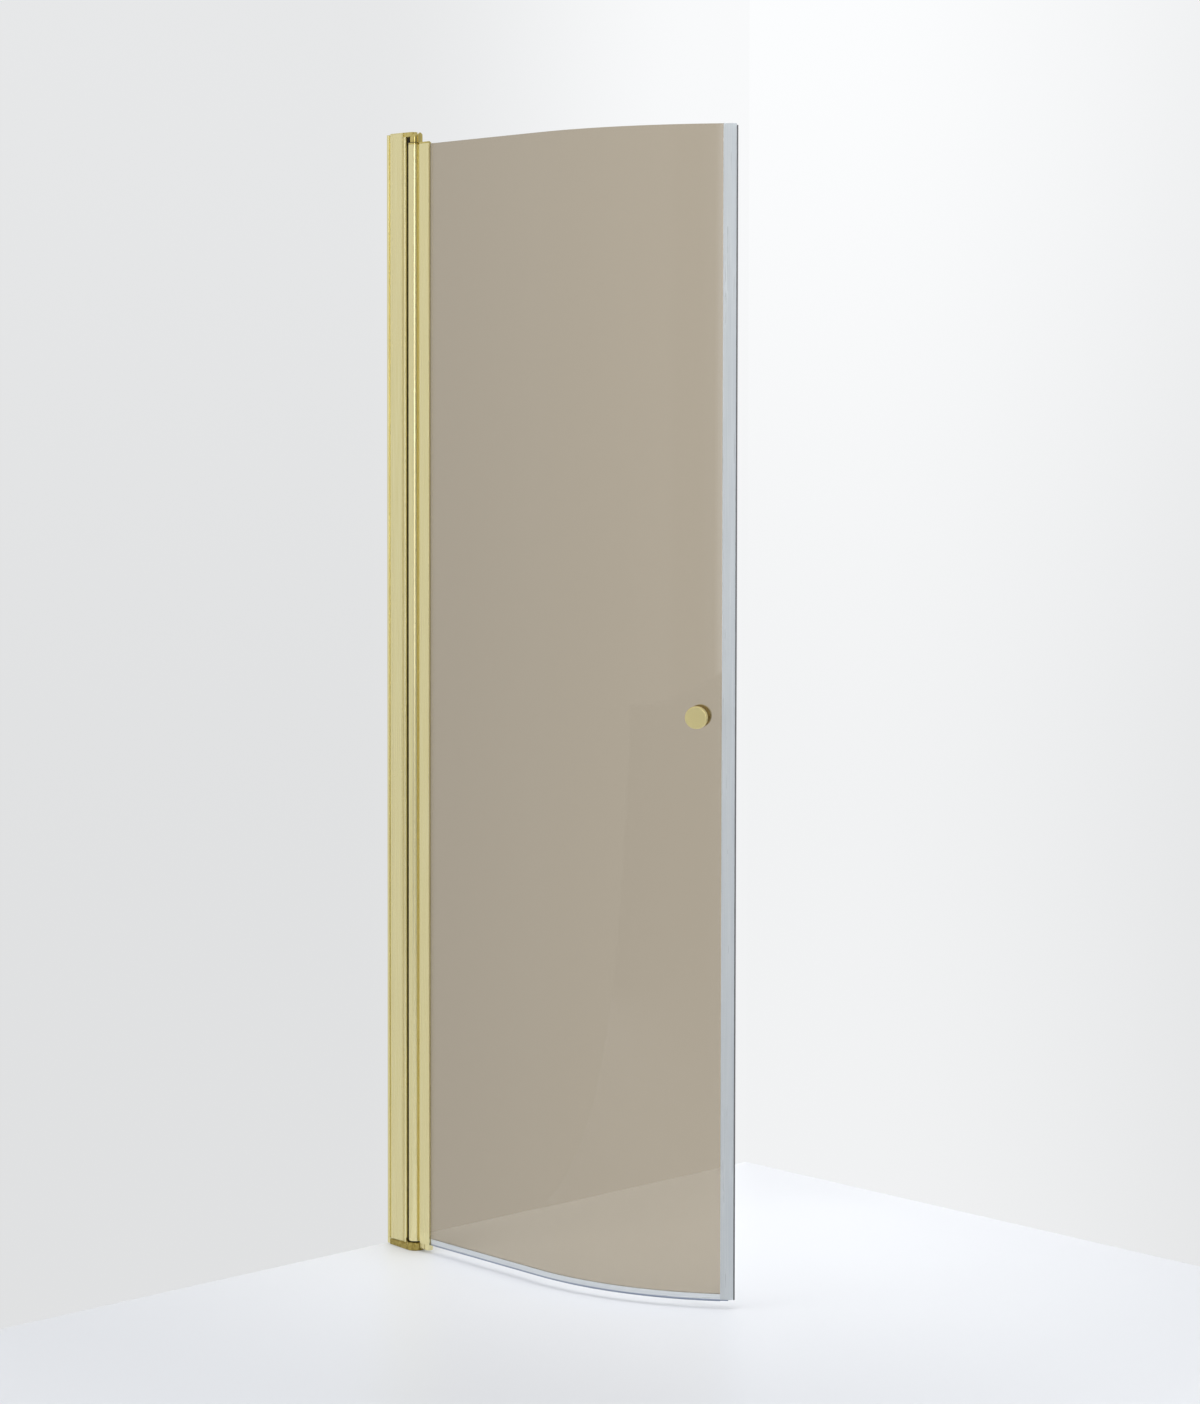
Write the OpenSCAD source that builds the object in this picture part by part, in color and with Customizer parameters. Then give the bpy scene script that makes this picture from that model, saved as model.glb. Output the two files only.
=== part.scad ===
// Shower door: one bent glass leaf that swings on two pivots in a brass-coloured wall profile.
// Origin: the wall, under the middle of the wall channel, at floor level.
// +X runs out from the wall along the closed door, +Y into the shower, +Z up.

/* [Whole door] */
// Height of the wall profile above the floor
total_h = 2000; // [1850:10:2100]
// Distance from the wall to the pivot axis
pivot_x = 68; // [67.5:0.5:70]

/* [Wall channel] */
// Outer width of the channel that is screwed to the wall
channel_w = 17; // [16:0.5:18]
// Wall thickness of the channel
channel_wall = 1.6; // [1.2:0.1:2]
// Diameter of the holes for the wall screws
wall_hole_d = 6; // [5:0.5:7]
// Distance between the two end holes for wall screws
end_hole_spacing = 1800; // [1600:10:1820]
// Distance between the two middle holes for wall screws
middle_hole_spacing = 600; // [400:10:800]

/* [Hinge profile] */
// Distance from the wall to the back edge of the hinge profile
profile_back_x = 10.5; // [8:0.5:12]
// Distance from the wall to the rounded end of the hinge profile
profile_end_x = 52; // [51.5:0.5:53]
// Wall thickness of the hinge profile
profile_wall = 1.35; // [1.2:0.05:1.6]
// Radius of the rounded end edges
end_edge_r = 4.5; // [3:0.5:5]
// Depth of the flat face below the two beads of the profile
face_step = 0.4; // [0.2:0.1:0.5]
// Width of the bead at the back edge
back_bead_w = 6; // [4:0.5:8]
// Radius of the outer corners at the back edge
back_edge_r = 1.2; // [0.6:0.1:1.3]
// Width and depth of the two fine lines on the face
line_size = 0.6; // [0.4:0.1:0.7]
// Travel that the profile can be drawn out of the channel to meet an uneven wall
adjust_travel = 15; // [8:1:16]
// Overlap of the two profiles that is left at the end of that travel
grip_left = 6.5; // [5:0.5:7]

/* [Pivots] */
// Diameter of the pivot pins
pin_d = 8; // [6:0.5:8.5]
// Radius of the leaf's barrel round the pivot
barrel_r = 12; // [11.5:0.1:12.2]
// Outer diameter of the pivot bushes
bush_d = 14; // [12:0.5:15]
// Length of a pivot bush
bush_h = 33; // [25:1:45]
// Thickness of the upper hinge arm
arm_h = 8.2; // [7:0.2:9]
// Radius of the round nose of the upper arm
nose_r = 6.5; // [6.2:0.1:7]
// Height of the slope at the top of the nose
nose_slope_h = 7; // [5:0.2:7.4]
// Radius of the collar under the upper arm
collar_r = 9.2; // [8.6:0.1:9.8]
// Height of the collar between the arm and the leaf
collar_h = 10.2; // [9:0.2:12]
// Height of the plate of the lower foot
foot_plate_h = 9.8; // [8:0.2:11]
// Height of the round boss of the lower foot
foot_boss_h = 14.3; // [13:0.1:15]
// Radius of the round boss of the lower foot
foot_boss_r = 17; // [16:0.2:17.2]
// Width of the lower foot at the wall
foot_back_w = 25; // [22:1:28]
// Thickness of the thrust washer on the lower foot
washer_t = 1.5; // [1:0.1:2]

/* [Stile] */
// Thickness of the clamp that holds the glass
clamp_w = 18; // [17:0.2:18.6]
// Distance from the pivot axis to the free edge of the stile
stile_reach = 47; // [44:0.5:50]
// Distance from the pivot axis to the free edge of the clamp bar
bar_end_reach = 34; // [33:0.5:37]
// Distance from the pivot axis to the bottom of the glass slot
slot_reach = 27; // [26.5:0.5:28]
// Radius of the hollow between the barrel and the clamp on the outer side
cove_r = 8.4; // [7.8:0.1:8.6]
// Thickness of the caps on the two ends of the stile
stile_cap_h = 3; // [2:0.5:4]
// Height of the lug on the top cap
lug_h = 18; // [14:1:18]
// Half of the angle that the lug spans round the pivot
lug_half_angle = 18; // [12:1:20]
// Height of the tongue under the stile
tongue_h = 11; // [9:0.5:12]
// Radius of the tongue's round end
tongue_r = 7.8; // [7:0.2:8.4]
// Distance from the pivot axis to the middle of the tongue's round end
tongue_reach = 36; // [34:0.5:38]
// Number of clamp screws
clamp_screws_n = 6; // [3:1:8]

/* [Glass] */
// Thickness of the glass
glass_t = 6; // [5:0.5:6.5]
// Distance from the underside of the stile's top cap down to the glass
glass_drop = 0.5; // [0:0.5:4]
// Distance from the wall to where the glass starts to bend
bend_x = 400; // [340:5:460]
// Radius of the bend, to the middle of the glass
bend_r = 505; // [440:5:560]
// Angle of the bend up to the free edge of the glass
bend_angle = 41; // [38:0.5:46]

/* [Seals] */
// Thickness of the clear seals' walls
seal_wall = 1.2; // [0.9:0.1:1.5]
// Height of the bottom seal on the glass
bottom_seal_h = 11; // [9:0.5:14]
// Length of the closing seal's legs along the glass
seal_leg = 13.5; // [10:0.5:18]
// Length of the closing seal's soft web beyond the glass
seal_web = 7; // [5:0.5:9]
// Thickness of the magnet strip
magnet_t = 2.4; // [2:0.2:3]

/* [Knob] */
// Diameter of the knob's face
knob_d = 38; // [34:1:42]
// Distance from the glass to the knob's face
knob_reach = 25; // [20:1:30]
// Height of the knob above the floor
knob_z = 994; // [900:1:1100]
// Angle round the bend at which the knob sits
knob_angle = 35; // [30:0.5:36]
// Diameter of the knob's stud
stud_d = 6; // [5:0.5:6]

/* [Hidden] */
$fn = 96;
bend_fn = 720;
eps = 0.01;

// Clearances: sliding profiles, faces that seat, pins in bushes, faces that pass each other
slide_gap = 0.15;
seat_gap = 0.05;
run_gap = 0.06;
pass_gap = 0.2;
sweep_gap = 0.6;

brass = "#cdc498";
brass_dark = "#a89a5c";
black_rubber = "#2a1e12";
white_plastic = "#e6e6e0";
clear_vinyl = "#d6dde4";
bronze_glass = "#a69d8c";
steel = "#b9b9b4";
magnet_grey = "#5a5a5c";

// Heights
channel_bottom_z = foot_plate_h + 2 * pass_gap;
profile_cap_t = 1.5;
profile_bottom_z = foot_plate_h + pass_gap;
profile_top_z = total_h - profile_cap_t;
channel_cap_t = 1.2;
channel_top_z = profile_top_z - channel_cap_t - pass_gap;
arm_bottom_z = total_h - arm_h;
pin_top_z = arm_bottom_z + arm_h / 2;
collar_bottom_z = arm_bottom_z - collar_h;
upper_washer_t = 1;
stile_top_z = collar_bottom_z - upper_washer_t - pass_gap;
stile_bar_top_z = stile_top_z - stile_cap_h;
stile_bottom_z = foot_boss_h + washer_t + pass_gap;
foot_floor = 2;
glass_lift = 1;
glass_bottom_z = stile_bottom_z + glass_lift;
glass_top_z = stile_bar_top_z - glass_drop;
seal_bottom_z = glass_bottom_z - 1.5 * seal_wall;

// Hinge profile
profile_w = channel_w + 2 * (slide_gap + profile_wall);
face_y = profile_w / 2 - face_step;
channel_depth = profile_back_x + adjust_travel + grip_left;
chamber_wall = 2;
chamber_w = profile_w - 2 * chamber_wall;
web_gap = 4.5;
web_x = channel_depth + web_gap;
web_t = 1.4;
chamber_x = web_x + web_t;
chamber_end_x = profile_end_x - 5.2;
tongue_gap = 0.4;
arm_x = profile_end_x - end_edge_r - 1.4;
arm_w = chamber_w - 2 * seat_gap;
arm_taper_reach = 12;
gasket_skin = 1.6;
gasket_neck_w = 3;
gasket_foot_w = 6;
gasket_foot_t = 1.8;
gasket_lip_y = 3.2;
gasket_lip_w = 1.6;
gasket_lip_gap = 0.3;
gasket_flange_t = 1.5;
cap_prong_h = 12;
cap_prong_inset = 8;

// Stile
stile_end_x = pivot_x + stile_reach;
bar_end_x = pivot_x + bar_end_reach;
slot_x = pivot_x + slot_reach;
slot_w = glass_t + 3.4;
glass_x = slot_x + 1;
cove_x = pivot_x + 15.2;
cove_y = clamp_w / 2 + cove_r / 2;
groove_r = 5.2;
groove_x = pivot_x + 12;
groove_y = clamp_w / 2 + 3.2;
port_r = 1.6;
port_x = slot_x - 3.5;
bar_x = port_x - 5;
tongue_x = pivot_x + tongue_reach;
tongue_neck_w = 9;
lug_in_r = collar_r + 1.2;
lug_out_r = lug_in_r + 5.3;
lug_crown = 2.6;
lug_slope_h = 5.4;
lug_edge = 1;
cap_head_r = 2.8;
cap_head_h = 1.4;

// Screws
machine_screw_r = 2;
small_head_r = 3.5;
small_head_h = 2;
clamp_head_r = 3.2;
arm_screw_len = 12;
lock_screw_inset = 160;
lock_screw_z = [lock_screw_inset, total_h / 2, total_h - lock_screw_inset];
lock_screw_x = profile_back_x + 4;
lock_screw_len = small_head_h + (profile_w - channel_w) / 2 - seat_gap;
arm_screw_x = (chamber_x + chamber_end_x) / 2;
arm_screw_drop = [22, 40];
tongue_len = 50;
clamp_end_inset = 90;
clamp_pitch = (stile_bar_top_z - stile_bottom_z - 2 * clamp_end_inset) / (clamp_screws_n - 1);
clamp_screw_z = [
    for (i = [0 : clamp_screws_n - 1]) stile_bottom_z + clamp_end_inset + i * clamp_pitch
];

// Seals
lip_t = 1.6;
lip_out = 2.2;
lip_drop = 2.8;
magnet_drop = 3;

// Knob
knob_rim = 1.6;
knob_skirt_h = 2;
knob_slope_h = 3;
sleeve_r = stud_d / 2 + 2.9;
washer_gap = 0.22;
knob_washer_t = 0.6;
knob_washer_r = knob_d * 0.36;
stud_half = glass_t / 2 + knob_reach * 0.7;

// Angles round the bend
deg_per_mm = 180 / (PI * bend_r);
seal_start = bend_angle - seal_leg * deg_per_mm;
seal_base_end = bend_angle + seal_wall * deg_per_mm;
web_end = seal_base_end + seal_web * deg_per_mm;
magnet_end = web_end + magnet_t * deg_per_mm;

// A plan shape raised from one height to another
module raised(z0, z1) {
    translate([0, 0, z0])
        linear_extrude(z1 - z0)
            children();
}

// A flat rectangle in plan, symmetric about the door's centre line
module strip(x0, x1, w) {
    translate([x0, -w / 2])
        square([x1 - x0, w]);
}

// A section (across the leaf, height) carried along the straight glass and round its bend
module along_leaf(x0, angle) {
    translate([x0, 0, 0])
        rotate([90, 0, 90])
            linear_extrude(bend_x - x0)
                children();
    translate([bend_x, bend_r, 0])
        rotate([0, 0, -90])
            rotate_extrude(angle = angle, $fn = bend_fn)
                translate([bend_r, 0])
                    mirror([1, 0])
                        children();
}

// A curved slab of the leaf between two angles of the bend
module leaf_slab(a0, a1, in0, in1, z0, z1) {
    translate([bend_x, bend_r, 0])
        rotate([0, 0, a0 - 90])
            rotate_extrude(angle = a1 - a0, $fn = bend_fn)
                translate([bend_r - in1, z0])
                    square([in1 - in0, z1 - z0]);
}

// Puts its children on the middle of the glass at an angle of the bend: -Y points outwards
module on_leaf(angle) {
    translate([bend_x, bend_r, 0])
        rotate([0, 0, angle])
            translate([0, -bend_r, 0])
                children();
}

// A screw along -Y with its head's top at the origin and a hexagon recess
module screw(head_r, head_h, shank_r, length) {
    rotate([90, 0, 0])
        difference() {
            union() {
                cylinder(r = head_r, h = head_h);
                cylinder(r = shank_r, h = length);
            }
            translate([0, 0, -eps])
                cylinder(r = shank_r * 0.7, h = head_h * 0.7, $fn = 6);
        }
}

module wall_channel() {
    color(brass)
        difference() {
            raised(0, channel_top_z)
                difference() {
                    strip(0, channel_depth, channel_w);
                    strip(channel_wall, channel_depth + 1, channel_w - 2 * channel_wall);
                }
            raised(-1, channel_bottom_z)
                strip(profile_back_x - pass_gap, channel_depth + 1, channel_w + 1);
            for (spacing = [end_hole_spacing, middle_hole_spacing])
                for (side = [-0.5, 0.5])
                    translate([-1, 0, total_h / 2 + side * spacing])
                        rotate([0, 90, 0])
                            cylinder(d = wall_hole_d, h = channel_wall + 2);
        }
}

module channel_top_cap() {
    inner_w = channel_w - 2 * channel_wall - 2 * seat_gap;
    color(brass_dark)
        union() {
            raised(channel_top_z + seat_gap, channel_top_z + channel_cap_t)
                strip(0, channel_depth, channel_w);
            raised(channel_top_z - cap_prong_h, channel_top_z + channel_cap_t)
                strip(channel_wall + seat_gap, channel_depth - cap_prong_inset, inner_w);
        }
}

// Outline of the hinge profile in plan: two beads, a sunk face and a rounded end
module profile_outline() {
    bead_end = profile_back_x + back_bead_w;
    round_x = profile_end_x - end_edge_r;
    strip(bead_end - eps, round_x, profile_w - 2 * face_step);
    strip(profile_back_x + back_edge_r, bead_end, profile_w);
    strip(profile_back_x, bead_end, profile_w - 2 * back_edge_r);
    strip(arm_x, round_x, profile_w);
    strip(arm_x, profile_end_x, profile_w - 2 * end_edge_r);
    for (side = [-1, 1]) {
        translate([profile_back_x + back_edge_r, side * (profile_w / 2 - back_edge_r)])
            circle(r = back_edge_r);
        translate([round_x, side * (profile_w / 2 - end_edge_r)])
            circle(r = end_edge_r);
    }
}

// Two fine lines cut along both faces of the profile
module face_lines() {
    for (side = [-1, 1])
        for (x = [arm_x - 7, arm_x - 1.6])
            translate([x, side * face_y])
                square([line_size, 2 * line_size], center = true);
}

// The dovetail that the gasket slides into, from the rounded end inwards
module gasket_slot(clear) {
    foot_end = profile_end_x - gasket_skin;
    strip(foot_end - gasket_foot_t - clear, foot_end + clear, gasket_foot_w + 2 * clear);
    strip(foot_end, profile_end_x + 1, gasket_neck_w + 2 * clear);
}

module hinge_profile() {
    color(brass)
        difference() {
            raised(profile_bottom_z, profile_top_z)
                difference() {
                    profile_outline();
                    strip(profile_back_x - 1, web_x, channel_w + 2 * slide_gap);
                    strip(chamber_x, chamber_end_x, chamber_w);
                    gasket_slot(seat_gap);
                    face_lines();
                }
            raised(arm_bottom_z - seat_gap, total_h)
                strip(arm_x, profile_end_x + 1, profile_w + 2);
            for (z = lock_screw_z)
                translate([lock_screw_x, profile_w / 2 + 1, z])
                    rotate([90, 0, 0])
                        cylinder(r = machine_screw_r + seat_gap, h = 5);
            for (drop = arm_screw_drop)
                for (z = [arm_bottom_z - drop, foot_plate_h + drop])
                    translate([arm_screw_x, profile_w / 2 + 1, z])
                        rotate([90, 0, 0])
                            cylinder(r = machine_screw_r + seat_gap, h = 5);
        }
}

module profile_top_cap() {
    color(brass)
        raised(profile_top_z + seat_gap, total_h)
            difference() {
                profile_outline();
                strip(arm_x - seat_gap, profile_end_x + 1, profile_w + 2);
            }
}

module lock_screws() {
    color(steel)
        for (z = lock_screw_z)
            translate([lock_screw_x, profile_w / 2 + small_head_h, z])
                screw(small_head_r, small_head_h - seat_gap, machine_screw_r, lock_screw_len);
}

module gap_gasket() {
    lip_end = pivot_x - barrel_r - gasket_lip_gap;
    foot_end = profile_end_x - gasket_skin;
    lip_x = profile_end_x + 0.1;
    color(black_rubber)
        raised(foot_boss_h + pass_gap, arm_bottom_z - 1)
            union() {
                strip(foot_end - gasket_foot_t, foot_end, gasket_foot_w);
                strip(foot_end - 0.4, lip_x + 0.5, gasket_neck_w);
                for (side = [-1, 1])
                    translate([0, side * gasket_lip_y])
                        strip(lip_x, lip_end, gasket_lip_w);
                strip(lip_x, lip_x + gasket_flange_t, 2 * gasket_lip_y + gasket_lip_w);
            }
}

// The block inside the profile's chamber that a hinge arm is fixed by
module arm_tongue(z0, z1) {
    raised(z0, z1)
        strip(chamber_x + tongue_gap, chamber_end_x - seat_gap, arm_w);
}

// Holes for the two screws that hold an arm, through the tongue
module tongue_holes(z_list) {
    for (z = z_list)
        translate([arm_screw_x, chamber_w / 2 + 1, z])
            rotate([90, 0, 0])
                cylinder(r = machine_screw_r + seat_gap, h = arm_screw_len);
}

// Plan with straight sides that run from a straight back edge tangentially into a round end
module tapered_plan(back_x, back_w, round_r) {
    run = pivot_x - back_x;
    reach = sqrt(run * run + pow(back_w / 2, 2));
    lean = acos(round_r / reach) + atan2(back_w / 2, run);
    tangent_x = pivot_x - round_r * cos(lean);
    tangent_y = round_r * sin(lean);
    polygon([
        [back_x, -back_w / 2],
        [tangent_x, -tangent_y],
        [pivot_x, 0],
        [tangent_x, tangent_y],
        [back_x, back_w / 2]
    ]);
}

module upper_arm() {
    taper_x = pivot_x - arm_taper_reach;
    nose_top_r = nose_r / 2;
    color(brass)
        difference() {
            union() {
                arm_tongue(arm_bottom_z - tongue_len, profile_top_z - seat_gap);
                raised(arm_bottom_z, total_h) {
                    strip(arm_x, taper_x + eps, arm_w);
                    intersection() {
                        tapered_plan(taper_x, arm_w, nose_r);
                        strip(taper_x, pivot_x, arm_w);
                    }
                }
                translate([pivot_x, 0, 0])
                    rotate_extrude()
                        polygon([
                            [0, arm_bottom_z],
                            [nose_r, arm_bottom_z],
                            [nose_r, total_h - nose_slope_h],
                            [nose_top_r, total_h],
                            [0, total_h]
                        ]);
                raised(arm_bottom_z, total_h - nose_slope_h)
                    tapered_plan(taper_x, arm_w, nose_r);
            }
            translate([pivot_x, 0, arm_bottom_z - 1])
                cylinder(d = pin_d + 2 * seat_gap, h = pin_top_z + seat_gap - arm_bottom_z + 1);
            tongue_holes([for (drop = arm_screw_drop) arm_bottom_z - drop]);
        }
}

module upper_arm_screws() {
    color(steel)
        for (drop = arm_screw_drop)
            translate([arm_screw_x, face_y + small_head_h, arm_bottom_z - drop])
                screw(small_head_r, small_head_h - seat_gap, machine_screw_r, arm_screw_len);
}

module upper_pin() {
    pin_bottom_z = stile_top_z - bush_h + 2;
    color(steel)
        translate([pivot_x, 0, pin_bottom_z])
            cylinder(d = pin_d, h = pin_top_z - pin_bottom_z);
}

module upper_collar() {
    color(brass_dark)
        translate([pivot_x, 0, collar_bottom_z])
            difference() {
                cylinder(r = collar_r, h = collar_h - seat_gap);
                translate([0, 0, -1])
                    cylinder(d = pin_d + 2 * seat_gap, h = collar_h + 2);
            }
}

// A flat dark ring round a pivot pin
module thrust_washer(z, thickness) {
    color(black_rubber)
        translate([pivot_x, 0, z])
            difference() {
                cylinder(r = collar_r - 0.5, h = thickness);
                translate([0, 0, -1])
                    cylinder(d = pin_d + 2 * seat_gap, h = thickness + 2);
            }
}

module upper_washer() {
    thrust_washer(collar_bottom_z - upper_washer_t, upper_washer_t - seat_gap);
}

module lower_foot() {
    color(brass)
        difference() {
            union() {
                raised(0, foot_plate_h)
                    tapered_plan(profile_back_x, foot_back_w, foot_boss_r);
                difference() {
                    translate([pivot_x, 0, 0])
                        cylinder(r = foot_boss_r, h = foot_boss_h);
                    raised(foot_plate_h, foot_boss_h + 1)
                        strip(pivot_x - foot_boss_r - 1, profile_end_x + pass_gap, 2 * foot_boss_r);
                }
                arm_tongue(foot_plate_h - 1, foot_plate_h + tongue_len);
            }
            translate([pivot_x, 0, foot_floor])
                cylinder(d = pin_d + 2 * seat_gap, h = foot_boss_h);
            tongue_holes([for (drop = arm_screw_drop) foot_plate_h + drop]);
        }
}

module lower_foot_screws() {
    color(steel)
        for (drop = arm_screw_drop)
            translate([arm_screw_x, face_y + small_head_h, foot_plate_h + drop])
                screw(small_head_r, small_head_h - seat_gap, machine_screw_r, arm_screw_len);
}

module lower_pin() {
    pin_bottom = foot_floor + seat_gap;
    color(steel)
        translate([pivot_x, 0, pin_bottom])
            cylinder(d = pin_d, h = stile_bottom_z + bush_h - 2 - pin_bottom);
}

module lower_washer() {
    thrust_washer(foot_boss_h, washer_t);
}

// Outline of the stile in plan, with the barrel, the hollow on each side and the clamp
module stile_outline() {
    difference() {
        union() {
            translate([pivot_x, 0])
                circle(r = barrel_r);
            strip(pivot_x, stile_end_x, clamp_w);
        }
        translate([cove_x, -cove_y])
            circle(r = cove_r);
        translate([groove_x, groove_y])
            circle(r = groove_r);
    }
}

module door_stile() {
    bar_side = clamp_w / 2 - slot_w / 2;
    color(brass)
        difference() {
            raised(stile_bottom_z, stile_bar_top_z)
                difference() {
                    stile_outline();
                    translate([pivot_x, 0])
                        circle(d = bush_d + 2 * seat_gap);
                    strip(slot_x, stile_end_x + 1, slot_w);
                    translate([bar_x - seat_gap, slot_w / 2 - seat_gap])
                        square([stile_end_x, bar_side + 1]);
                    translate([port_x, 0])
                        circle(r = port_r + seat_gap);
                }
            for (z = clamp_screw_z)
                translate([port_x, slot_w, z])
                    rotate([90, 0, 0])
                        cylinder(r = machine_screw_r + seat_gap, h = slot_w + 3);
        }
}

module clamp_bar() {
    bar_w = clamp_w / 2 - slot_w / 2;
    color(brass)
        difference() {
            raised(stile_bottom_z, stile_bar_top_z)
                translate([bar_x, slot_w / 2])
                    square([bar_end_x - bar_x, bar_w]);
            for (z = clamp_screw_z)
                translate([port_x, clamp_w, z])
                    rotate([90, 0, 0])
                        cylinder(r = machine_screw_r + seat_gap, h = clamp_w);
            for (z = clamp_screw_z)
                translate([port_x, clamp_w / 2 + 1, z])
                    rotate([90, 0, 0])
                        cylinder(r = clamp_head_r, h = 1 + small_head_h);
        }
}

module clamp_screws() {
    length = clamp_w / 2 + 2;
    color(steel)
        for (z = clamp_screw_z)
            translate([port_x, clamp_w / 2, z])
                screw(clamp_head_r - seat_gap, small_head_h - seat_gap, machine_screw_r, length);
}

// A soft strip between one side of the glass and the clamp, up to the clamp's edge
module glazing_gasket(side, end_x) {
    gasket_t = (slot_w - glass_t) / 2 - 2 * seat_gap;
    mid_y = side * (glass_t / 2 + seat_gap + gasket_t / 2);
    length = end_x - 0.5 - glass_x;
    color(clear_vinyl)
        raised(glass_bottom_z, glass_top_z)
            translate([glass_x + length / 2, mid_y])
                square([length, gasket_t], center = true);
}

module outer_glazing_gasket() {
    glazing_gasket(-1, stile_end_x);
}

module inner_glazing_gasket() {
    glazing_gasket(1, bar_end_x);
}

// A plastic bush in the barrel, with the running bore for a pivot pin
module pivot_bush(z0) {
    color(white_plastic)
        translate([pivot_x, 0, z0])
            difference() {
                cylinder(d = bush_d, h = bush_h);
                translate([0, 0, -1])
                    cylinder(d = pin_d + 2 * run_gap, h = bush_h + 2);
            }
}

module upper_bush() {
    pivot_bush(stile_top_z - bush_h);
}

module lower_bush() {
    pivot_bush(stile_bottom_z);
}

module stile_top_cap() {
    lug_top_z = stile_top_z + lug_h;
    lug_side = lug_out_r * sin(lug_half_angle) + 1;
    color(brass)
        difference() {
            union() {
                raised(stile_bar_top_z + seat_gap, stile_top_z)
                    difference() {
                        stile_outline();
                        translate([bar_end_x, -slot_w / 2])
                            square([stile_end_x, clamp_w]);
                    }
                intersection() {
                    translate([pivot_x, 0, 0])
                        rotate([0, 0, -lug_half_angle])
                            rotate_extrude(angle = 2 * lug_half_angle)
                                polygon([
                                    [lug_in_r, stile_top_z - 1],
                                    [lug_out_r, stile_top_z - 1],
                                    [lug_out_r, lug_top_z - 2 * lug_edge],
                                    [lug_out_r - lug_edge, lug_top_z],
                                    [lug_in_r + 2 * lug_edge, lug_top_z],
                                    [lug_in_r, lug_top_z - lug_slope_h]
                                ]);
                    translate([pivot_x, 0, 0])
                        rotate([90, 0, 90])
                            linear_extrude(lug_out_r + 1)
                                polygon([
                                    [-lug_side, stile_top_z - 2],
                                    [lug_side, stile_top_z - 2],
                                    [lug_side, lug_top_z - lug_slope_h],
                                    [lug_crown / 2, lug_top_z],
                                    [-lug_crown / 2, lug_top_z],
                                    [-lug_side, lug_top_z - lug_slope_h]
                                ]);
                }
            }
            translate([pivot_x, 0, stile_bar_top_z - 1])
                cylinder(d = bush_d + 2 * seat_gap, h = stile_cap_h + 2);
            translate([port_x, 0, stile_bar_top_z - 1])
                cylinder(r = port_r + seat_gap, h = lug_h + stile_cap_h);
            translate([port_x, 0, stile_top_z - cap_head_h - seat_gap])
                cylinder(r = cap_head_r + seat_gap, h = lug_h);
        }
}

module stile_foot_cap() {
    color(brass)
        difference() {
            raised(stile_bottom_z - tongue_h, stile_bottom_z - seat_gap)
                difference() {
                    union() {
                        strip(pivot_x, tongue_x, tongue_neck_w);
                        translate([tongue_x, 0])
                            circle(r = tongue_r);
                    }
                    translate([pivot_x, 0])
                        circle(r = foot_boss_r + sweep_gap);
                }
            translate([port_x, 0, stile_bottom_z - tongue_h - 1])
                cylinder(r = port_r + seat_gap, h = tongue_h + 2);
            translate([port_x, 0, stile_bottom_z - tongue_h - 1])
                cylinder(r = cap_head_r + seat_gap, h = 1 + cap_head_h + seat_gap);
        }
}

module stile_cap_screws() {
    shank = 12;
    color(steel) {
        translate([port_x, 0, stile_bottom_z - tongue_h])
            cylinder(r = cap_head_r, h = cap_head_h);
        translate([port_x, 0, stile_bottom_z - tongue_h])
            cylinder(r = port_r, h = tongue_h + shank);
        translate([port_x, 0, stile_top_z - cap_head_h])
            cylinder(r = cap_head_r, h = cap_head_h);
        translate([port_x, 0, stile_bar_top_z - shank])
            cylinder(r = port_r, h = shank + stile_cap_h);
    }
}

module glass_panel() {
    color(bronze_glass, 0.6)
        difference() {
            along_leaf(glass_x, bend_angle)
                translate([-glass_t / 2, glass_bottom_z])
                    square([glass_t, glass_top_z - glass_bottom_z]);
            on_leaf(knob_angle)
                translate([0, glass_t, knob_z])
                    rotate([90, 0, 0])
                        cylinder(r = sleeve_r + seat_gap, h = 2 * glass_t);
        }
}

// Section of the bottom seal: a clip over the glass edge with a drip lip inside
module bottom_seal_section() {
    half = glass_t / 2 + seat_gap;
    floor_z = glass_bottom_z - seat_gap;
    for (side = [-1, 1])
        translate([side * (half + seal_wall / 2), seal_bottom_z + bottom_seal_h / 2])
            square([seal_wall, bottom_seal_h], center = true);
    translate([-half - seal_wall / 2, seal_bottom_z])
        square([2 * half + seal_wall, floor_z - seal_bottom_z]);
    polygon([
        [half - lip_t - 1, seal_bottom_z + 0.4],
        [half - 1, seal_bottom_z + 0.4],
        [half + lip_out, seal_bottom_z - lip_drop],
        [half + lip_out - 1, seal_bottom_z - lip_drop - 0.2]
    ]);
}

module bottom_seal() {
    color(clear_vinyl, 0.7)
        along_leaf(stile_end_x + sweep_gap, seal_start - seat_gap * deg_per_mm)
            bottom_seal_section();
}

module closing_seal() {
    leg_in = glass_t / 2 + seat_gap;
    leg_out = leg_in + seal_wall;
    base_half = leg_out - 0.1;
    base_start = bend_angle + seat_gap * deg_per_mm;
    color(clear_vinyl, 0.7)
        union() {
            leaf_slab(seal_start, web_end, leg_in, leg_out, glass_bottom_z, glass_top_z);
            leaf_slab(seal_start, web_end, -leg_out, -leg_in, glass_bottom_z, glass_top_z);
            leaf_slab(base_start, seal_base_end, -base_half, base_half, glass_bottom_z, glass_top_z);
        }
}

module magnet_strip() {
    half = glass_t / 2 + seat_gap + seal_wall;
    start = web_end + seat_gap * deg_per_mm;
    top_z = glass_top_z - magnet_drop;
    color(magnet_grey)
        leaf_slab(start, magnet_end, -half, half, glass_bottom_z, top_z);
}

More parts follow.
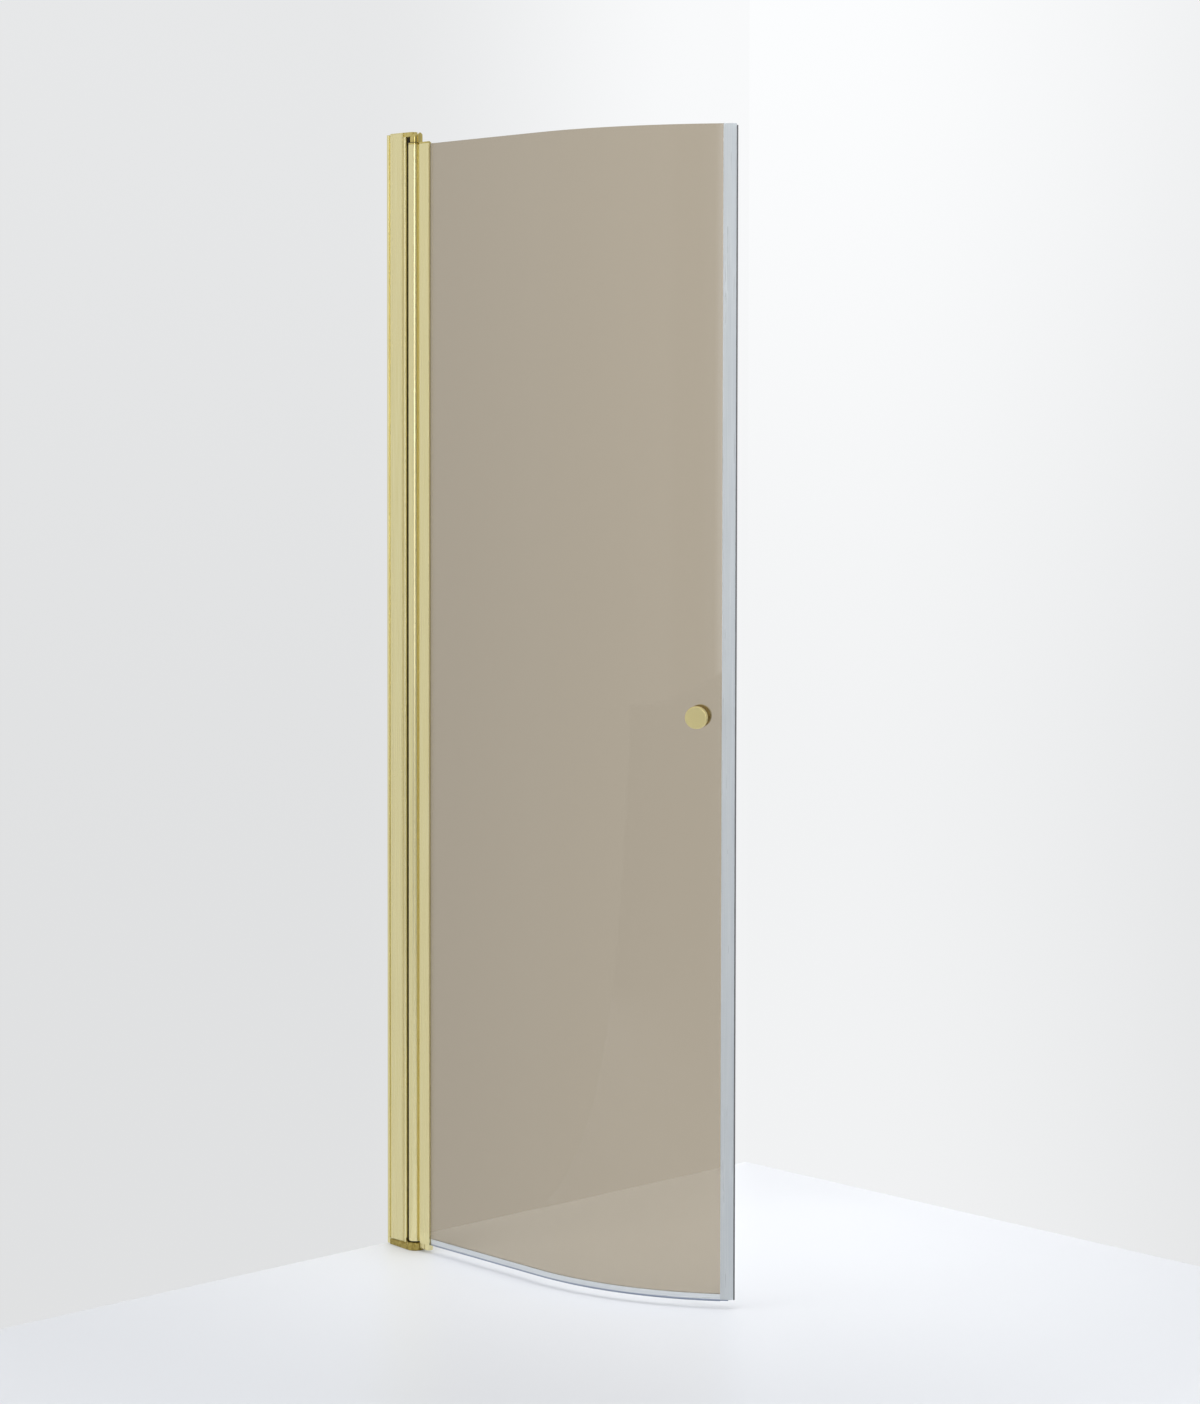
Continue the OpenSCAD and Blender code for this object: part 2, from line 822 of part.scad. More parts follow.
// A turned knob on the glass, from its washer out to its face
module knob() {
    base_z = glass_t / 2 + washer_gap + knob_washer_t + seat_gap;
    face_z = glass_t / 2 + knob_reach;
    head_r = knob_d / 2;
    waist_r = knob_d * 0.34;
    base_r = knob_d * 0.4;
    head_h = knob_reach * 0.42;
    skirt_z = base_z + knob_skirt_h;
    color(brass)
        difference() {
            rotate_extrude()
                polygon([
                    [0, base_z],
                    [base_r, base_z],
                    [base_r, skirt_z],
                    [waist_r, skirt_z + knob_slope_h],
                    [waist_r, face_z - head_h - knob_slope_h],
                    [head_r, face_z - head_h],
                    [head_r, face_z - knob_rim],
                    [head_r - knob_rim, face_z],
                    [0, face_z]
                ]);
            translate([0, 0, base_z - 1])
                cylinder(d = stud_d + 2 * seat_gap, h = stud_half - base_z + 2);
        }
}

module knob_outer() {
    on_leaf(knob_angle)
        translate([0, 0, knob_z])
            rotate([90, 0, 0])
                knob();
}

module knob_inner() {
    on_leaf(knob_angle)
        translate([0, 0, knob_z])
            rotate([-90, 0, 0])
                knob();
}

module knob_stud() {
    color(steel)
        on_leaf(knob_angle)
            translate([0, stud_half, knob_z])
                rotate([90, 0, 0])
                    cylinder(d = stud_d, h = 2 * stud_half);
}

module knob_sleeve() {
    color(white_plastic)
        on_leaf(knob_angle)
            translate([0, glass_t / 2, knob_z])
                rotate([90, 0, 0])
                    difference() {
                        cylinder(r = sleeve_r, h = glass_t);
                        translate([0, 0, -1])
                            cylinder(d = stud_d + 2 * seat_gap, h = glass_t + 2);
                    }
}

module knob_washers() {
    color(white_plastic)
        for (side = [-1, 1])
            on_leaf(knob_angle)
                translate([0, 0, knob_z])
                    rotate([side * 90, 0, 0])
                        translate([0, 0, glass_t / 2 + washer_gap])
                            difference() {
                                cylinder(r = knob_washer_r, h = knob_washer_t);
                                translate([0, 0, -1])
                                    cylinder(d = stud_d + 2 * seat_gap, h = knob_washer_t + 2);
                            }
}

wall_channel();
channel_top_cap();
hinge_profile();
profile_top_cap();
lock_screws();
gap_gasket();
upper_arm();
upper_arm_screws();
upper_pin();
upper_collar();
upper_washer();
lower_foot();
lower_foot_screws();
lower_pin();
lower_washer();
door_stile();
clamp_bar();
clamp_screws();
outer_glazing_gasket();
inner_glazing_gasket();
upper_bush();
lower_bush();
stile_top_cap();
stile_foot_cap();
stile_cap_screws();
glass_panel();
bottom_seal();
closing_seal();
magnet_strip();
knob_outer();
knob_inner();
knob_stud();
knob_sleeve();
knob_washers();
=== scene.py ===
"""Looks of a wall-hung swing shower door: brass-coloured profiles, bent bronze glass and clear seals."""
import math

import bmesh
import bpy
import numpy as np
from mathutils import Matrix, Vector
from mathutils.geometry import tessellate_polygon


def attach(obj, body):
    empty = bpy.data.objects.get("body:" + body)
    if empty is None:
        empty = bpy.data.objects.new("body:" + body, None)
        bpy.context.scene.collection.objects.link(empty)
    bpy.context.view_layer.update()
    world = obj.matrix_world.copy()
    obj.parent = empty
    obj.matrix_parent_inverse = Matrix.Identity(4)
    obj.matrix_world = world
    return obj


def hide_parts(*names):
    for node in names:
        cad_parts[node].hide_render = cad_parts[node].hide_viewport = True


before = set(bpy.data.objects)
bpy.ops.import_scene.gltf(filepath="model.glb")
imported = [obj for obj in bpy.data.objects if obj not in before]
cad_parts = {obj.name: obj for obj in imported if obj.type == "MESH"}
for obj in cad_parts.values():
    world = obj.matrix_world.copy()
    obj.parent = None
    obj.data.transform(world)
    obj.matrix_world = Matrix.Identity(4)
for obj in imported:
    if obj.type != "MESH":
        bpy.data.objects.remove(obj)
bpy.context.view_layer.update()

MM = 0.001
# Points of a shell that lie closer than this, in metres, become one
MERGED = 2e-6

# Camera, fitted to the photograph: its place, turn, tilt and roll, and the image it takes
CAMERA_AT = (4.38485, -3.64104, 1.45231)
CAMERA_YAW, CAMERA_TILT, CAMERA_ROLL = 0.8117, 0.0358, 0.0016
FOCAL_PX, IMAGE_W, IMAGE_H = 3160.84, 1200, 1404
AXIS_PX = (600.03, 554.16)
SENSOR = 36.0

# Sizes of the part in millimetres, as its source has them. SLIP is the gap between seated pieces, and
# HAIR keeps faces of two shells, or of a piece and the floor, from lying in one plane
TOTAL_H = 2000.0
PIVOT_X = 68.0
PIVOT = (PIVOT_X, 0, 0)
SLIP, HAIR = 0.05, 0.02

# Wall channel: a U with a thicker root, and on each side a recess beside the hinge profile
CHANNEL_X1, CHANNEL_Y, CHANNEL_WALL = 32.0, 8.5, 1.6
CHANNEL_NOTCH_Z, CHANNEL_Z1 = 10.2, 1997.1
RECESS_X0, RECESS_X1, RECESS_Y, RECESS_EDGE = 5.1, 10.2, 6.3, 0.2
ROOT_X1, ROOT_Y = 12.0, 4.8

# Hinge profile: an open fork, then on each side a bead, a sunk face with two grooves (start, end and
# depth) and a rounded end with one more; the chamber inside it takes the blocks of arm and foot
PROFILE_X0, PROFILE_X1 = 10.5, 52.0
PROFILE_Z0, PROFILE_Z1 = 10.0, 1998.5
HALF_W, SUNK_Y = 10.0, 9.6
BEAD_X1, BEAD_R = 16.5, 0.35
BACK_R, END_R = 1.3, 3.6
FACE_GROOVES = ((41.2, 41.6, 0.3), (43.9, 44.8, 1.0))
END_GROOVE = (47.1, 48.1, 1.2)
FIT_Y, WEB_X = 8.65, 36.5
CHAMBER_X0, CHAMBER_X1, CHAMBER_Y = 37.9, 46.8, 8.0

# Gasket in the profile's rounded end: its key, its neck and its two lips
KEY_X0, KEY_X1, KEY_Y, NECK_Y = 48.6, 50.4, 3.0, 1.5
LIP_X0, LIP_X1, LIP_Y = 52.1, 55.7, 4.0
LIP_IN_X, LIP_IN_Y = 53.6, 2.4

# Upper arm: a bar that tapers to a round nose over the pivot, its block, and the collar under it
ARM_X, ARM_Y, ARM_Z = 46.1, CHAMBER_Y - SLIP, 1991.8
TAPER_X = PIVOT_X - 12.0
NOSE_R, NOSE_SLOPE = 6.5, 7.0
BLOCK_X0, BLOCK_H, BLOCK_R = 38.3, 50.0, 0.6
COLLAR_R, COLLAR_Z = 9.2, 1981.6
PIN_HOLE_R = 4.1

# Foot: a plate whose back corners turn towards a place on its flanks, and a round boss
FOOT_R, FOOT_H, PLATE_H, FOOT_BACK_Y = 17.0, 14.3, 9.8, 12.5
FLANK_X, FLANK_Y = 40.0, 13.6
FOOT_CUT_X = PROFILE_X1 + 0.25

# Stile: a barrel round the pivots and a clamp for the glass, with a hollow between them on each side
STILE_Z0, STILE_BAR_Z1, STILE_Z1 = 16.0, 1977.4, 1980.4
BARREL_R, BUSH_R = 12.0, 7.05
CLAMP_X0, STILE_X1, CLAMP_Y, CLAMP_R = 90.2, 115.0, 9.0, 1.1
HOLLOW_X, HOLLOW_Y, HOLLOW_R = 80.0, 12.2, 5.2
SLOT_X, SLOT_Y, MOUTH_R = 95.0, 4.7, 0.4
BAR_X0, BAR_X1, BAR_R = 86.5, 102.0, 0.5

# Lug on the stile's top cap, bent round the collar: its turn to each side in degrees, and its level
# crest from which it falls to both ends
LUG_IN, LUG_OUT, LUG_Z1 = COLLAR_R + 1.2, COLLAR_R + 6.5, STILE_Z1 + 18.0
LUG_TURN, LUG_CREST, LUG_RUN, LUG_FALL = 18.0, 1.3, 4.5, 5.4

# Tongue on the stile's foot cap: a round end, whose arc runs to this angle, and a hollow back
TONGUE_X0, TONGUE_X, TONGUE_Y, TONGUE_R, TONGUE_H = 85.05, 104.0, 4.5, 7.8, 11.0
TONGUE_TURN = 144.8
TONGUE_BACK_R, TONGUE_BACK_TURN = 17.6, 14.5

# Glass: flat to BEND_X, then bent; GROUND is the width of its ground edges
GLASS_X, GLASS_Y, GROUND = 96.0, 3.0, 0.6
GLASS_Z0, GLASS_Z1 = 17.0, 1976.9
BEND_X, BEND_R, BEND_END = 400.0, 505.0, math.radians(41)
GLASS_END = BEND_X + BEND_R * BEND_END

# Seals: the closing seal with its magnet strip on the glass's edge, the bottom seal under the glass
SEAL_START = GLASS_END - 13.5
SEAL_END = SEAL_START + 21.7
SEAL_IN, SEAL_OUT, SEAL_FLOOR = GLASS_Y + SLIP, 4.25, 1.2
MAGNET_W, MAGNET_DROP = 2.4, 3.0
RAIL_Z0, RAIL_LEG = GLASS_Z0 - 1.8, 11.0

# Knobs: their height, and their turn with the glass. The profile gives radius and distance from the
# middle of the glass: skirt, waist, head with a fine step, flat face
KNOB_Z, KNOB_ANGLE = 994.0, math.radians(35)
KNOB_PROFILE = (
    (0, 3.8), (14.6, 3.8), (15.2, 4.3), (15.2, 5.4), (14.8, 5.9),
    (13.5, 7.4), (12.95, 8.8), (12.92, 10), (12.92, 14.0), (13.2, 14.8),
    (17.9, 17.0), (18.7, 17.6), (19, 18.5), (19, 21.6), (18.7, 22.2), (18.1, 22.5),
    (17.6, 22.9), (17.6, 23.5), (18.0, 23.9), (18.3, 24.3), (18.3, 27.0), (18.1, 27.6), (17.6, 27.95),
    (17.2, 28.0), (0, 28.0))

# Stage in metres: how far it reaches, its height, and the corner in which its two backdrops meet
REACH, STAGE_H = 12.0, 6.0
CORNER_X, CORNER_Y = -0.001, 0.928
# Metres from that corner over which the floor's painted light goes from its pale to its darker tone
FLOOR_PAINTED_LIGHT_FADE = (0.3, 1.8)
# Metres above the floor over which the backdrops glow brighter, as painted light
BACKDROP_RISE = (0.6, 2.4)

# The world's level as light on matt surfaces, and as the camera sees it, through the glass too
WORLD_LIGHT, WORLD_SEEN = 0.82, 0.92
# What polished metal mirrors of the studio: an even level, and soft glows given by
# compass angle from +X, half width of the full glow, half width where it ends, and added strength
STUDIO_GLOSS = 0.75
STUDIO_GLOWS = ((-69, 3, 9, -0.15), (-50, 3.5, 9, 1.9), (-28, 10, 17, -0.5))

# Soft boxes: name, place and size in metres, power in watts; all look at one place on the door
LAMPS = (
    ("strip_box_right", (2.3, 0.35, 1.3), (0.5, 2.4), 17),
    ("soft_box_front", (-0.2, -2.6, 1.5), (1.3, 2.2), 20),
    ("soft_box_top", (0.9, -0.6, 3.6), (2.4, 2.4), 36),
)
LAMPS_AIM = (0.35, 0, 1.0)


def linear(code):
    """An sRGB hex colour as linear red, green, blue and alpha 1."""
    srgb = np.array([int(code[i:i + 2], 16) for i in (1, 3, 5)]) / 255
    rgb = np.where(srgb <= 0.04045, srgb / 12.92, ((srgb + 0.055) / 1.055) ** 2.4)
    return (*rgb.tolist(), 1.0)


def add(tree, kind, inputs=None, **settings):
    """Adds one shader node; inputs gives each socket a value, or the socket that feeds it."""
    node = tree.nodes.new("ShaderNode" + kind)
    for key, value in settings.items():
        setattr(node, key, value)
    for key, value in (inputs or {}).items():
        if isinstance(value, bpy.types.NodeSocket):
            tree.links.new(value, node.inputs[key])
        else:
            node.inputs[key].default_value = value
    return node


def blank(name, datablocks=bpy.data.materials):
    """A material or world with an empty node tree, and that tree."""
    datablock = datablocks.new(name)
    datablock.use_nodes = True
    datablock.node_tree.nodes.clear()
    return datablock, datablock.node_tree


# Camera
def place_camera():
    """Puts the camera where the photograph was taken from, with its principal point by lens shift."""
    yaw, tilt, roll = CAMERA_YAW, CAMERA_TILT, CAMERA_ROLL
    ahead = Vector((-math.sin(yaw) * math.cos(tilt), math.cos(yaw) * math.cos(tilt), -math.sin(tilt)))
    level = Vector((math.cos(yaw), math.sin(yaw), 0))
    above = level.cross(ahead)
    right = level * math.cos(roll) + above * math.sin(roll)
    up = above * math.cos(roll) - level * math.sin(roll)
    lens = bpy.data.cameras.new("camera")
    lens.sensor_width = SENSOR
    lens.lens = FOCAL_PX / IMAGE_H * SENSOR
    lens.shift_x = (IMAGE_W / 2 - AXIS_PX[0]) / IMAGE_H
    lens.shift_y = (AXIS_PX[1] - IMAGE_H / 2) / IMAGE_H
    camera = bpy.data.objects.new("camera", lens)
    turn = Matrix((right, up, -ahead)).transposed().to_4x4()
    camera.matrix_world = Matrix.Translation(CAMERA_AT) @ turn
    bpy.context.scene.collection.objects.link(camera)
    bpy.context.scene.camera = camera


place_camera()


# Outlines in plan
def rounded(corners, radii, steps=6):
    """A closed outline with round corners: each is a circle that touches both sides.

    Its centre is on the corner's bisector, and its points are the centre plus the radius times the
    cosine and sine of angles that run from one touching point to the other.
    """
    p = np.asarray(corners, float)
    r = np.broadcast_to(np.asarray(radii, float), len(p))
    back, ahead = np.roll(p, 1, 0) - p, np.roll(p, -1, 0) - p
    back /= np.linalg.norm(back, axis=1)[:, None]
    ahead /= np.linalg.norm(ahead, axis=1)[:, None]
    half = np.arccos(np.clip((back * ahead).sum(1), -1, 1)) / 2
    bisector = back + ahead
    bisector /= np.linalg.norm(bisector, axis=1)[:, None]
    centre = p + bisector * (r / np.sin(half))[:, None]
    touch = (r / np.tan(half))[:, None]
    first, last = p + back * touch - centre, p + ahead * touch - centre
    start = np.arctan2(first[:, 1], first[:, 0])
    sweep = np.arctan2(last[:, 1], last[:, 0]) - start
    sweep = (sweep + math.pi) % (2 * math.pi) - math.pi
    angle = start[:, None] + sweep[:, None] * np.linspace(0, 1, steps)
    around = np.stack([np.cos(angle), np.sin(angle)], 2)
    return (centre[:, None] + r[:, None, None] * around).reshape(-1, 2)


def mirrored(half):
    """Half an outline, then its mirror image: the same points backwards, with y turned to -y."""
    half = np.asarray(half, float)
    return np.concatenate([half, half[::-1] * (1, -1)])


def mirrored_and_rounded(half, radii, steps=6):
    """Half an outline and its mirror image, with the same round corners on both sides."""
    return rounded(mirrored(half), radii + radii[::-1], steps)


def box_plan(x0, x1, y0, y1, radius=0.3):
    """A rectangle with round corners."""
    return rounded([(x0, y0), (x1, y0), (x1, y1), (x0, y1)], radius, 4)


def arc(x, y, radius, start, end, steps):
    """A circle's arc from start to end in degrees: centre plus radius times cosine and sine."""
    t = np.radians(np.linspace(start, end, steps))
    return np.stack([x + radius * np.cos(t), y + radius * np.sin(t)], 1)


def groove(x0, x1, depth, face):
    """Four corners of a groove from x0 to x1 in a flat face at y = -face."""
    return [(x0, -face), (x0, depth - face), (x1, depth - face), (x1, -face)]


def touching_angle(radius, run, half_width):
    """Angle at a circle's centre, from its axis to where a line from beside that axis touches it.

    The line starts half_width beside the axis and run before the centre:
    angle = acos(radius / distance of the start) + atan(half_width / run).
    """
    return math.acos(radius / math.hypot(run, half_width)) + math.atan2(half_width, run)


def held(line, closed=True, margin=0.2, longest=2.0):
    """The line with a point just inside both ends of each long side, so that its shading stays flat."""
    line = np.asarray(line, float)
    ends = np.roll(line, -1, 0) if closed else line[1:]
    points = []
    for here, there in zip(line, ends):
        points.append(here)
        length = np.linalg.norm(there - here)
        if length > longest:
            step = (there - here) * (margin / length)
            points += [here + step, there - step]
    return np.array(points if closed else points + [line[-1]])


def outward(outline):
    """Unit normals of a closed counter-clockwise outline, from the two neighbours of each point."""
    along = np.roll(outline, -1, 0) - np.roll(outline, 1, 0)
    normal = np.stack([along[:, 1], -along[:, 0]], 1)
    return normal / np.linalg.norm(normal, axis=1)[:, None]


# Sections carried along a path, and lathe shapes
def upright(points):
    """The place of a section that is drawn in plan and raised in height: x, y and z as they are."""
    return points


def on_leaf(points):
    """Across the leaf, up, and along it -> x, y, z: straight to the bend, then round its circle."""
    across, up, along = points.T
    angle = np.maximum(along - BEND_X, 0) / BEND_R
    x = np.minimum(along, BEND_X) + (BEND_R - across) * np.sin(angle)
    y = BEND_R - (BEND_R - across) * np.cos(angle)
    return np.stack([x, y, up], 1)


def plan_on_leaf(points):
    """Along the leaf, across it, and up -> x, y, z, by the same bend."""
    return on_leaf(points[:, [1, 2, 0]])


def soft_start(edge, steps=3):
    """Stations edge * (1 - cos t) from a path's start with inset edge * (1 - sin t), t to 90 degrees."""
    t = np.linspace(0, math.pi / 2, steps + 1)
    return np.stack([edge * (1 - np.cos(t)), edge * (1 - np.sin(t))], 1)


def soft_ends(low, high, edge, steps=3, between=0):
    """Stations from low to high whose inset follows a quarter circle of radius edge at both ends."""
    start = soft_start(edge, steps)
    middle = np.linspace(low + 2 * edge, high - 2 * edge, between + 2)
    middle = np.stack([middle, np.zeros(between + 2)], 1)
    return np.concatenate([start + (low, 0), middle, start[::-1] * (-1, 1) + (high, 0)])


def walls(rows, columns, offset=0):
    """Four-cornered faces that join each of rows rings of columns points with the next."""
    row, column = np.divmod(np.arange((rows - 1) * columns), columns)
    here, there = row * columns + column, row * columns + (column + 1) % columns
    return np.stack([here, there, there + columns, here + columns], 1) + offset


def carried(loops, stations, place=upright):
    """A section carried along a path: point = place(outline - inset * normal, station).

    loops are closed outlines, the first counter-clockwise and the holes in it clockwise. stations
    are pairs of distance along the path and inset, so that the ends of the piece have soft edges.
    Both ends are closed with triangles.
    """
    stations = np.asarray(stations, float)
    points, faces, offset, ends = [], [], 0, ([], [])
    for loop in loops:
        loop = held(loop)
        ring = loop[None] - outward(loop)[None] * stations[:, 1][:, None, None]
        along = np.broadcast_to(stations[:, 0][:, None, None], ring.shape[:2] + (1,))
        placed = place(np.concatenate([ring, along], 2).reshape(-1, 3))
        points.append(placed)
        faces += walls(len(stations), len(loop), offset).tolist()
        if place is plan_on_leaf:
            # A bent plan gets its triangles as it lies, so that none crosses the bend
            ring = placed[:, :2].reshape(ring.shape)
        for end, row in zip(ends, (0, len(stations) - 1)):
            end.append((ring[row], offset + row * len(loop)))
        offset += len(stations) * len(loop)
    for end, downwards in zip(ends, (True, False)):
        index = np.concatenate([start + np.arange(len(ring)) for ring, start in end])
        flat_rings = [[Vector((*xy, 0)) for xy in ring.tolist()] for ring, start in end]
        plan = np.concatenate([ring for ring, start in end])
        for corners in tessellate_polygon(flat_rings):
            a, b, c = plan[list(corners)]
            left = (b[0] - a[0]) * (c[1] - a[1]) - (b[1] - a[1]) * (c[0] - a[0]) > 0
            order = corners if left != downwards else corners[::-1]
            faces.append(index[list(order)].tolist())
    return np.concatenate(points), faces


def turned(profile, centre=(0, 0, 0), columns=96):
    """A lathe shape: point = centre + (radius * cos t, radius * sin t, height) over profile and angle t.

    The profile runs upwards on the outside; a radius of zero at an end closes it with a pole.
    """
    profile = held(profile, closed=False)
    t = np.linspace(0, 2 * math.pi, columns, endpoint=False)
    radius, height = profile[:, :1], profile[:, 1:]
    level = np.broadcast_to(height, (len(profile), columns))
    ring = np.stack([radius * np.cos(t), radius * np.sin(t), level], 2)
    return ring.reshape(-1, 3) + np.asarray(centre, float), walls(len(profile), columns).tolist()


def piece(name, shells, material, body, node, sharp=28):
    """One object at the origin from closed shells in millimetres, in place of a CAD node.

    Each shell has its doubles merged and its faces turned outwards, which its signed volume shows.
    """
    mesh = bpy.data.meshes.new(name)
    form = bmesh.new()
    for points, faces in shells:
        shell = bmesh.new()
        corners = [shell.verts.new(p) for p in (np.asarray(points) * MM).tolist()]
        for face in faces:
            unique = list(dict.fromkeys(face))
            if len(unique) > 2:
                shell.faces.new([corners[i] for i in unique])
        bmesh.ops.remove_doubles(shell, verts=shell.verts, dist=MERGED)
        bmesh.ops.recalc_face_normals(shell, faces=shell.faces)
        if shell.calc_volume(signed=True) < 0:
            bmesh.ops.reverse_faces(shell, faces=shell.faces)
        shell.to_mesh(mesh)
        shell.free()
        form.from_mesh(mesh)
    form.to_mesh(mesh)
    form.free()
    mesh.shade_smooth()
    mesh.set_sharp_from_angle(angle=math.radians(sharp))
    mesh.materials.append(material)
    part = bpy.data.objects.new(name, mesh)
    bpy.context.scene.collection.objects.link(part)
    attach(part, body)
    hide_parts(node)
    return part


# Materials
def grain(tree, scale, detail=2.0):
    """Noise on object coordinates; scale is repeats per metre on each axis. Gives the noise's socket."""
    place = add(tree, "TexCoord")
    spread = add(tree, "Mapping", {"Vector": place.outputs["Object"], "Scale": scale})
    noise = add(tree, "TexNoise", {
        "Vector": spread.outputs[0], "Scale": 1.0, "Detail": detail, "Roughness": 0.5})
    return noise.outputs["Fac"]


def spread_to(tree, noise, low, high):
    """Turns a noise's middle range, which holds most of its values, into values from low to high."""
    return add(tree, "MapRange", {
        "Value": noise, "From Min": 0.3, "From Max": 0.7, "To Min": low, "To Max": high}).outputs[0]


def metal(name, light, dark, roughness, drawn, bump=0.06, anisotropy=0.0):
    """A metal whose grain lines run along the axis that has the smallest number in drawn.

    Smudges of hands and water, about 110 mm wide and 200 mm high, make it a little duller in places.
    """
    material, tree = blank(name)
    lines = grain(tree, drawn, detail=3.0)
    smudge = grain(tree, (9, 9, 5), detail=2.0)
    tone = add(tree, "Mix", {
        "Factor": spread_to(tree, lines, 0, 1), "A": linear(light), "B": linear(dark)}, data_type="RGBA")
    wear = add(tree, "Math", {
        0: spread_to(tree, lines, roughness - 0.04, roughness + 0.05),
        1: spread_to(tree, smudge, -0.02, 0.04)}, operation="ADD")
    relief = add(tree, "Bump", {"Strength": bump, "Distance": 0.00005, "Height": lines})
    shader = add(tree, "BsdfPrincipled", {
        "Base Color": tone.outputs["Result"], "Metallic": 1.0, "Roughness": wear.outputs[0],
        "Normal": relief.outputs[0], "Anisotropic": anisotropy})
    add(tree, "OutputMaterial", {"Surface": shader.outputs[0]})
    return material


# Metres above the floor between which a seal passes from its painted foot shade to its own colour
PAINTED_FOOT_SHADE = (0.0168, 0.0188)


def plastic(name, light, dark, roughness, specks, bump=0.1, transmission=0.0, ior=1.5, foot=None):
    """A moulded or extruded plastic or rubber with a fine skin and faint flow marks.

    foot is a colour of painted shade for a bottom seal's lowest part, standing in for the dark under it.
    """
    material, tree = blank(name)
    skin = grain(tree, specks, detail=3.0)
    tone = add(tree, "Mix", {
        "Factor": spread_to(tree, skin, 0, 1), "A": linear(light), "B": linear(dark)}, data_type="RGBA")
    # A bottom seal's lowest band takes the foot colour, a painted shade of the dark under it
    if foot:
        place = add(tree, "TexCoord")
        height = add(tree, "SeparateXYZ", {"Vector": place.outputs["Object"]})
        share = add(tree, "MapRange", {
            "Value": height.outputs["Z"], "From Min": PAINTED_FOOT_SHADE[0], "From Max": PAINTED_FOOT_SHADE[1]})
        tone = add(tree, "Mix", {
            "Factor": share.outputs[0], "A": linear(foot), "B": tone.outputs["Result"]},
            data_type="RGBA")
    relief = add(tree, "Bump", {"Strength": bump, "Distance": 0.0001, "Height": skin})
    shader = add(tree, "BsdfPrincipled", {
        "Base Color": tone.outputs["Result"], "Normal": relief.outputs[0],
        "Roughness": spread_to(tree, skin, roughness - 0.05, roughness + 0.07),
        "IOR": ior, "Transmission Weight": transmission})
    add(tree, "OutputMaterial", {"Surface": shader.outputs[0]})
    return material


def tinted_glass():
    """Float glass tinted bronze, bent and toughened: clear and glossy.

    The furnace leaves a faint wave of about 200 mm in it, and wiping leaves a film in patches of 25 mm.
    """
    material, tree = blank("bronze_tinted_toughened_glass")
    wave = grain(tree, (5, 5, 2.5), detail=1.0)
    film = grain(tree, (40, 40, 14), detail=4.0)
    relief = add(tree, "Bump", {"Strength": 0.04, "Distance": 0.001, "Height": wave})
    shader = add(tree, "BsdfPrincipled", {
        "Base Color": linear("#B6AB98"), "Roughness": spread_to(tree, film, 0.0, 0.03),
        "IOR": 1.52, "Transmission Weight": 1.0, "Normal": relief.outputs[0]})
    add(tree, "OutputMaterial", {"Surface": shader.outputs[0]})
    return material


# Aluminium extrusion, drawn, satin brushed along its length and anodised in a pale brass shade:
# soft vertical lines, a satin sheen. Real lines are 0.05 mm apart; drawn here 0.5 mm apart to show.
BRUSHED = metal(
    "brushed_brass_anodised_aluminium", "#EEE6B7", "#E4D79D", 0.24, (2000, 2000, 6), anisotropy=0.5)
# Cast zinc, polished and brass plated: clear reflections, with a polish haze in specks of 1.4 mm.
PLATED = metal("polished_brass_plated_zinc", "#D6C682", "#C4B26A", 0.1, (700, 700, 300), bump=0.02)
# The same zinc at the foot, coloured darker as painted shade of the low foot near the floor, and mottled
# at random in soft patches of 4.5 mm.
ZINC_IN_PAINTED_SHADE = metal("brass_plated_zinc_with_painted_shade", "#BCAA62", "#8C7A3C", 0.12, (220, 220, 120), bump=0.02)
# Brass bar turned on a lathe and satin finished: an even sheen. Its grit is under 0.1 mm; drawn here
# in specks of 1.1 mm to show.
TURNED = metal("turned_satin_brass", "#F1E3A8", "#E8D898", 0.2, (900, 900, 900), bump=0.03)
# Stainless steel, cold headed into screws or ground into pins: bright, with specks of 1.1 mm.
STEEL = metal("bright_stainless_steel", "#C9C9C6", "#BDBDB9", 0.2, (900, 900, 900), bump=0.03)
# Extruded EPDM rubber: near black, dull, with marks of the die 0.7 mm wide and 17 mm long.
RUBBER = plastic("extruded_epdm_rubber", "#1B1712", "#241D15", 0.6, (1500, 1500, 60))
# Moulded acetal: off-white, smooth, slightly waxy, with flow marks of 1.7 mm.
ACETAL = plastic("moulded_white_acetal", "#E4E3DC", "#DAD9D1", 0.35, (600, 600, 600))
# Ferrite-filled strip, extruded: dark grey, dull, with marks of the die 0.8 mm wide and 12 mm long.
MAGNET = plastic("extruded_ferrite_magnet_strip", "#626264", "#56565A", 0.5, (1200, 1200, 80))
# Extruded clear PVC: milky from its frosted skin, with flow lines 2 mm wide and 125 mm long.
PVC_IOR = 1.53
VINYL = plastic(
    "extruded_frosted_clear_pvc", "#DEE3E5", "#D2D8DC", 0.32, (500, 500, 8),
    bump=0.05, transmission=0.45, ior=PVC_IOR)
# The same PVC as a seal under the glass: its flow lines lie level, and its lowest edge is slate blue as
# painted shade under it.
RAIL = plastic(
    "extruded_clear_pvc_bottom_seal", "#E6EAEC", "#DADFE3", 0.32, (8, 8, 500),
    bump=0.05, transmission=0.3, ior=PVC_IOR, foot="#8792A8")
# The same PVC as glazing strips, coloured dark olive brown as painted shade and painted reflection of the
# brass clamp they are pressed into.
GLAZING_PVC_PAINTED_SHADE = plastic(
    "pvc_glazing_strip_painted_shade_and_reflection", "#6C6346", "#5C5339", 0.4, (500, 500, 8), bump=0.05)
GLASS = tinted_glass()

# The finish of each of the record's material slots, for the CAD nodes that show as they are
FINISH = {
    "brass": BRUSHED, "steel": STEEL, "black_rubber": RUBBER, "white_plastic": ACETAL,
    "bronze_glass": GLASS, "clear_vinyl": VINYL, "magnet_rubber": MAGNET,
}
for node_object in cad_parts.values():
    for material_slot in node_object.material_slots:
        material_slot.material = FINISH[material_slot.material.name.split(".")[0]]


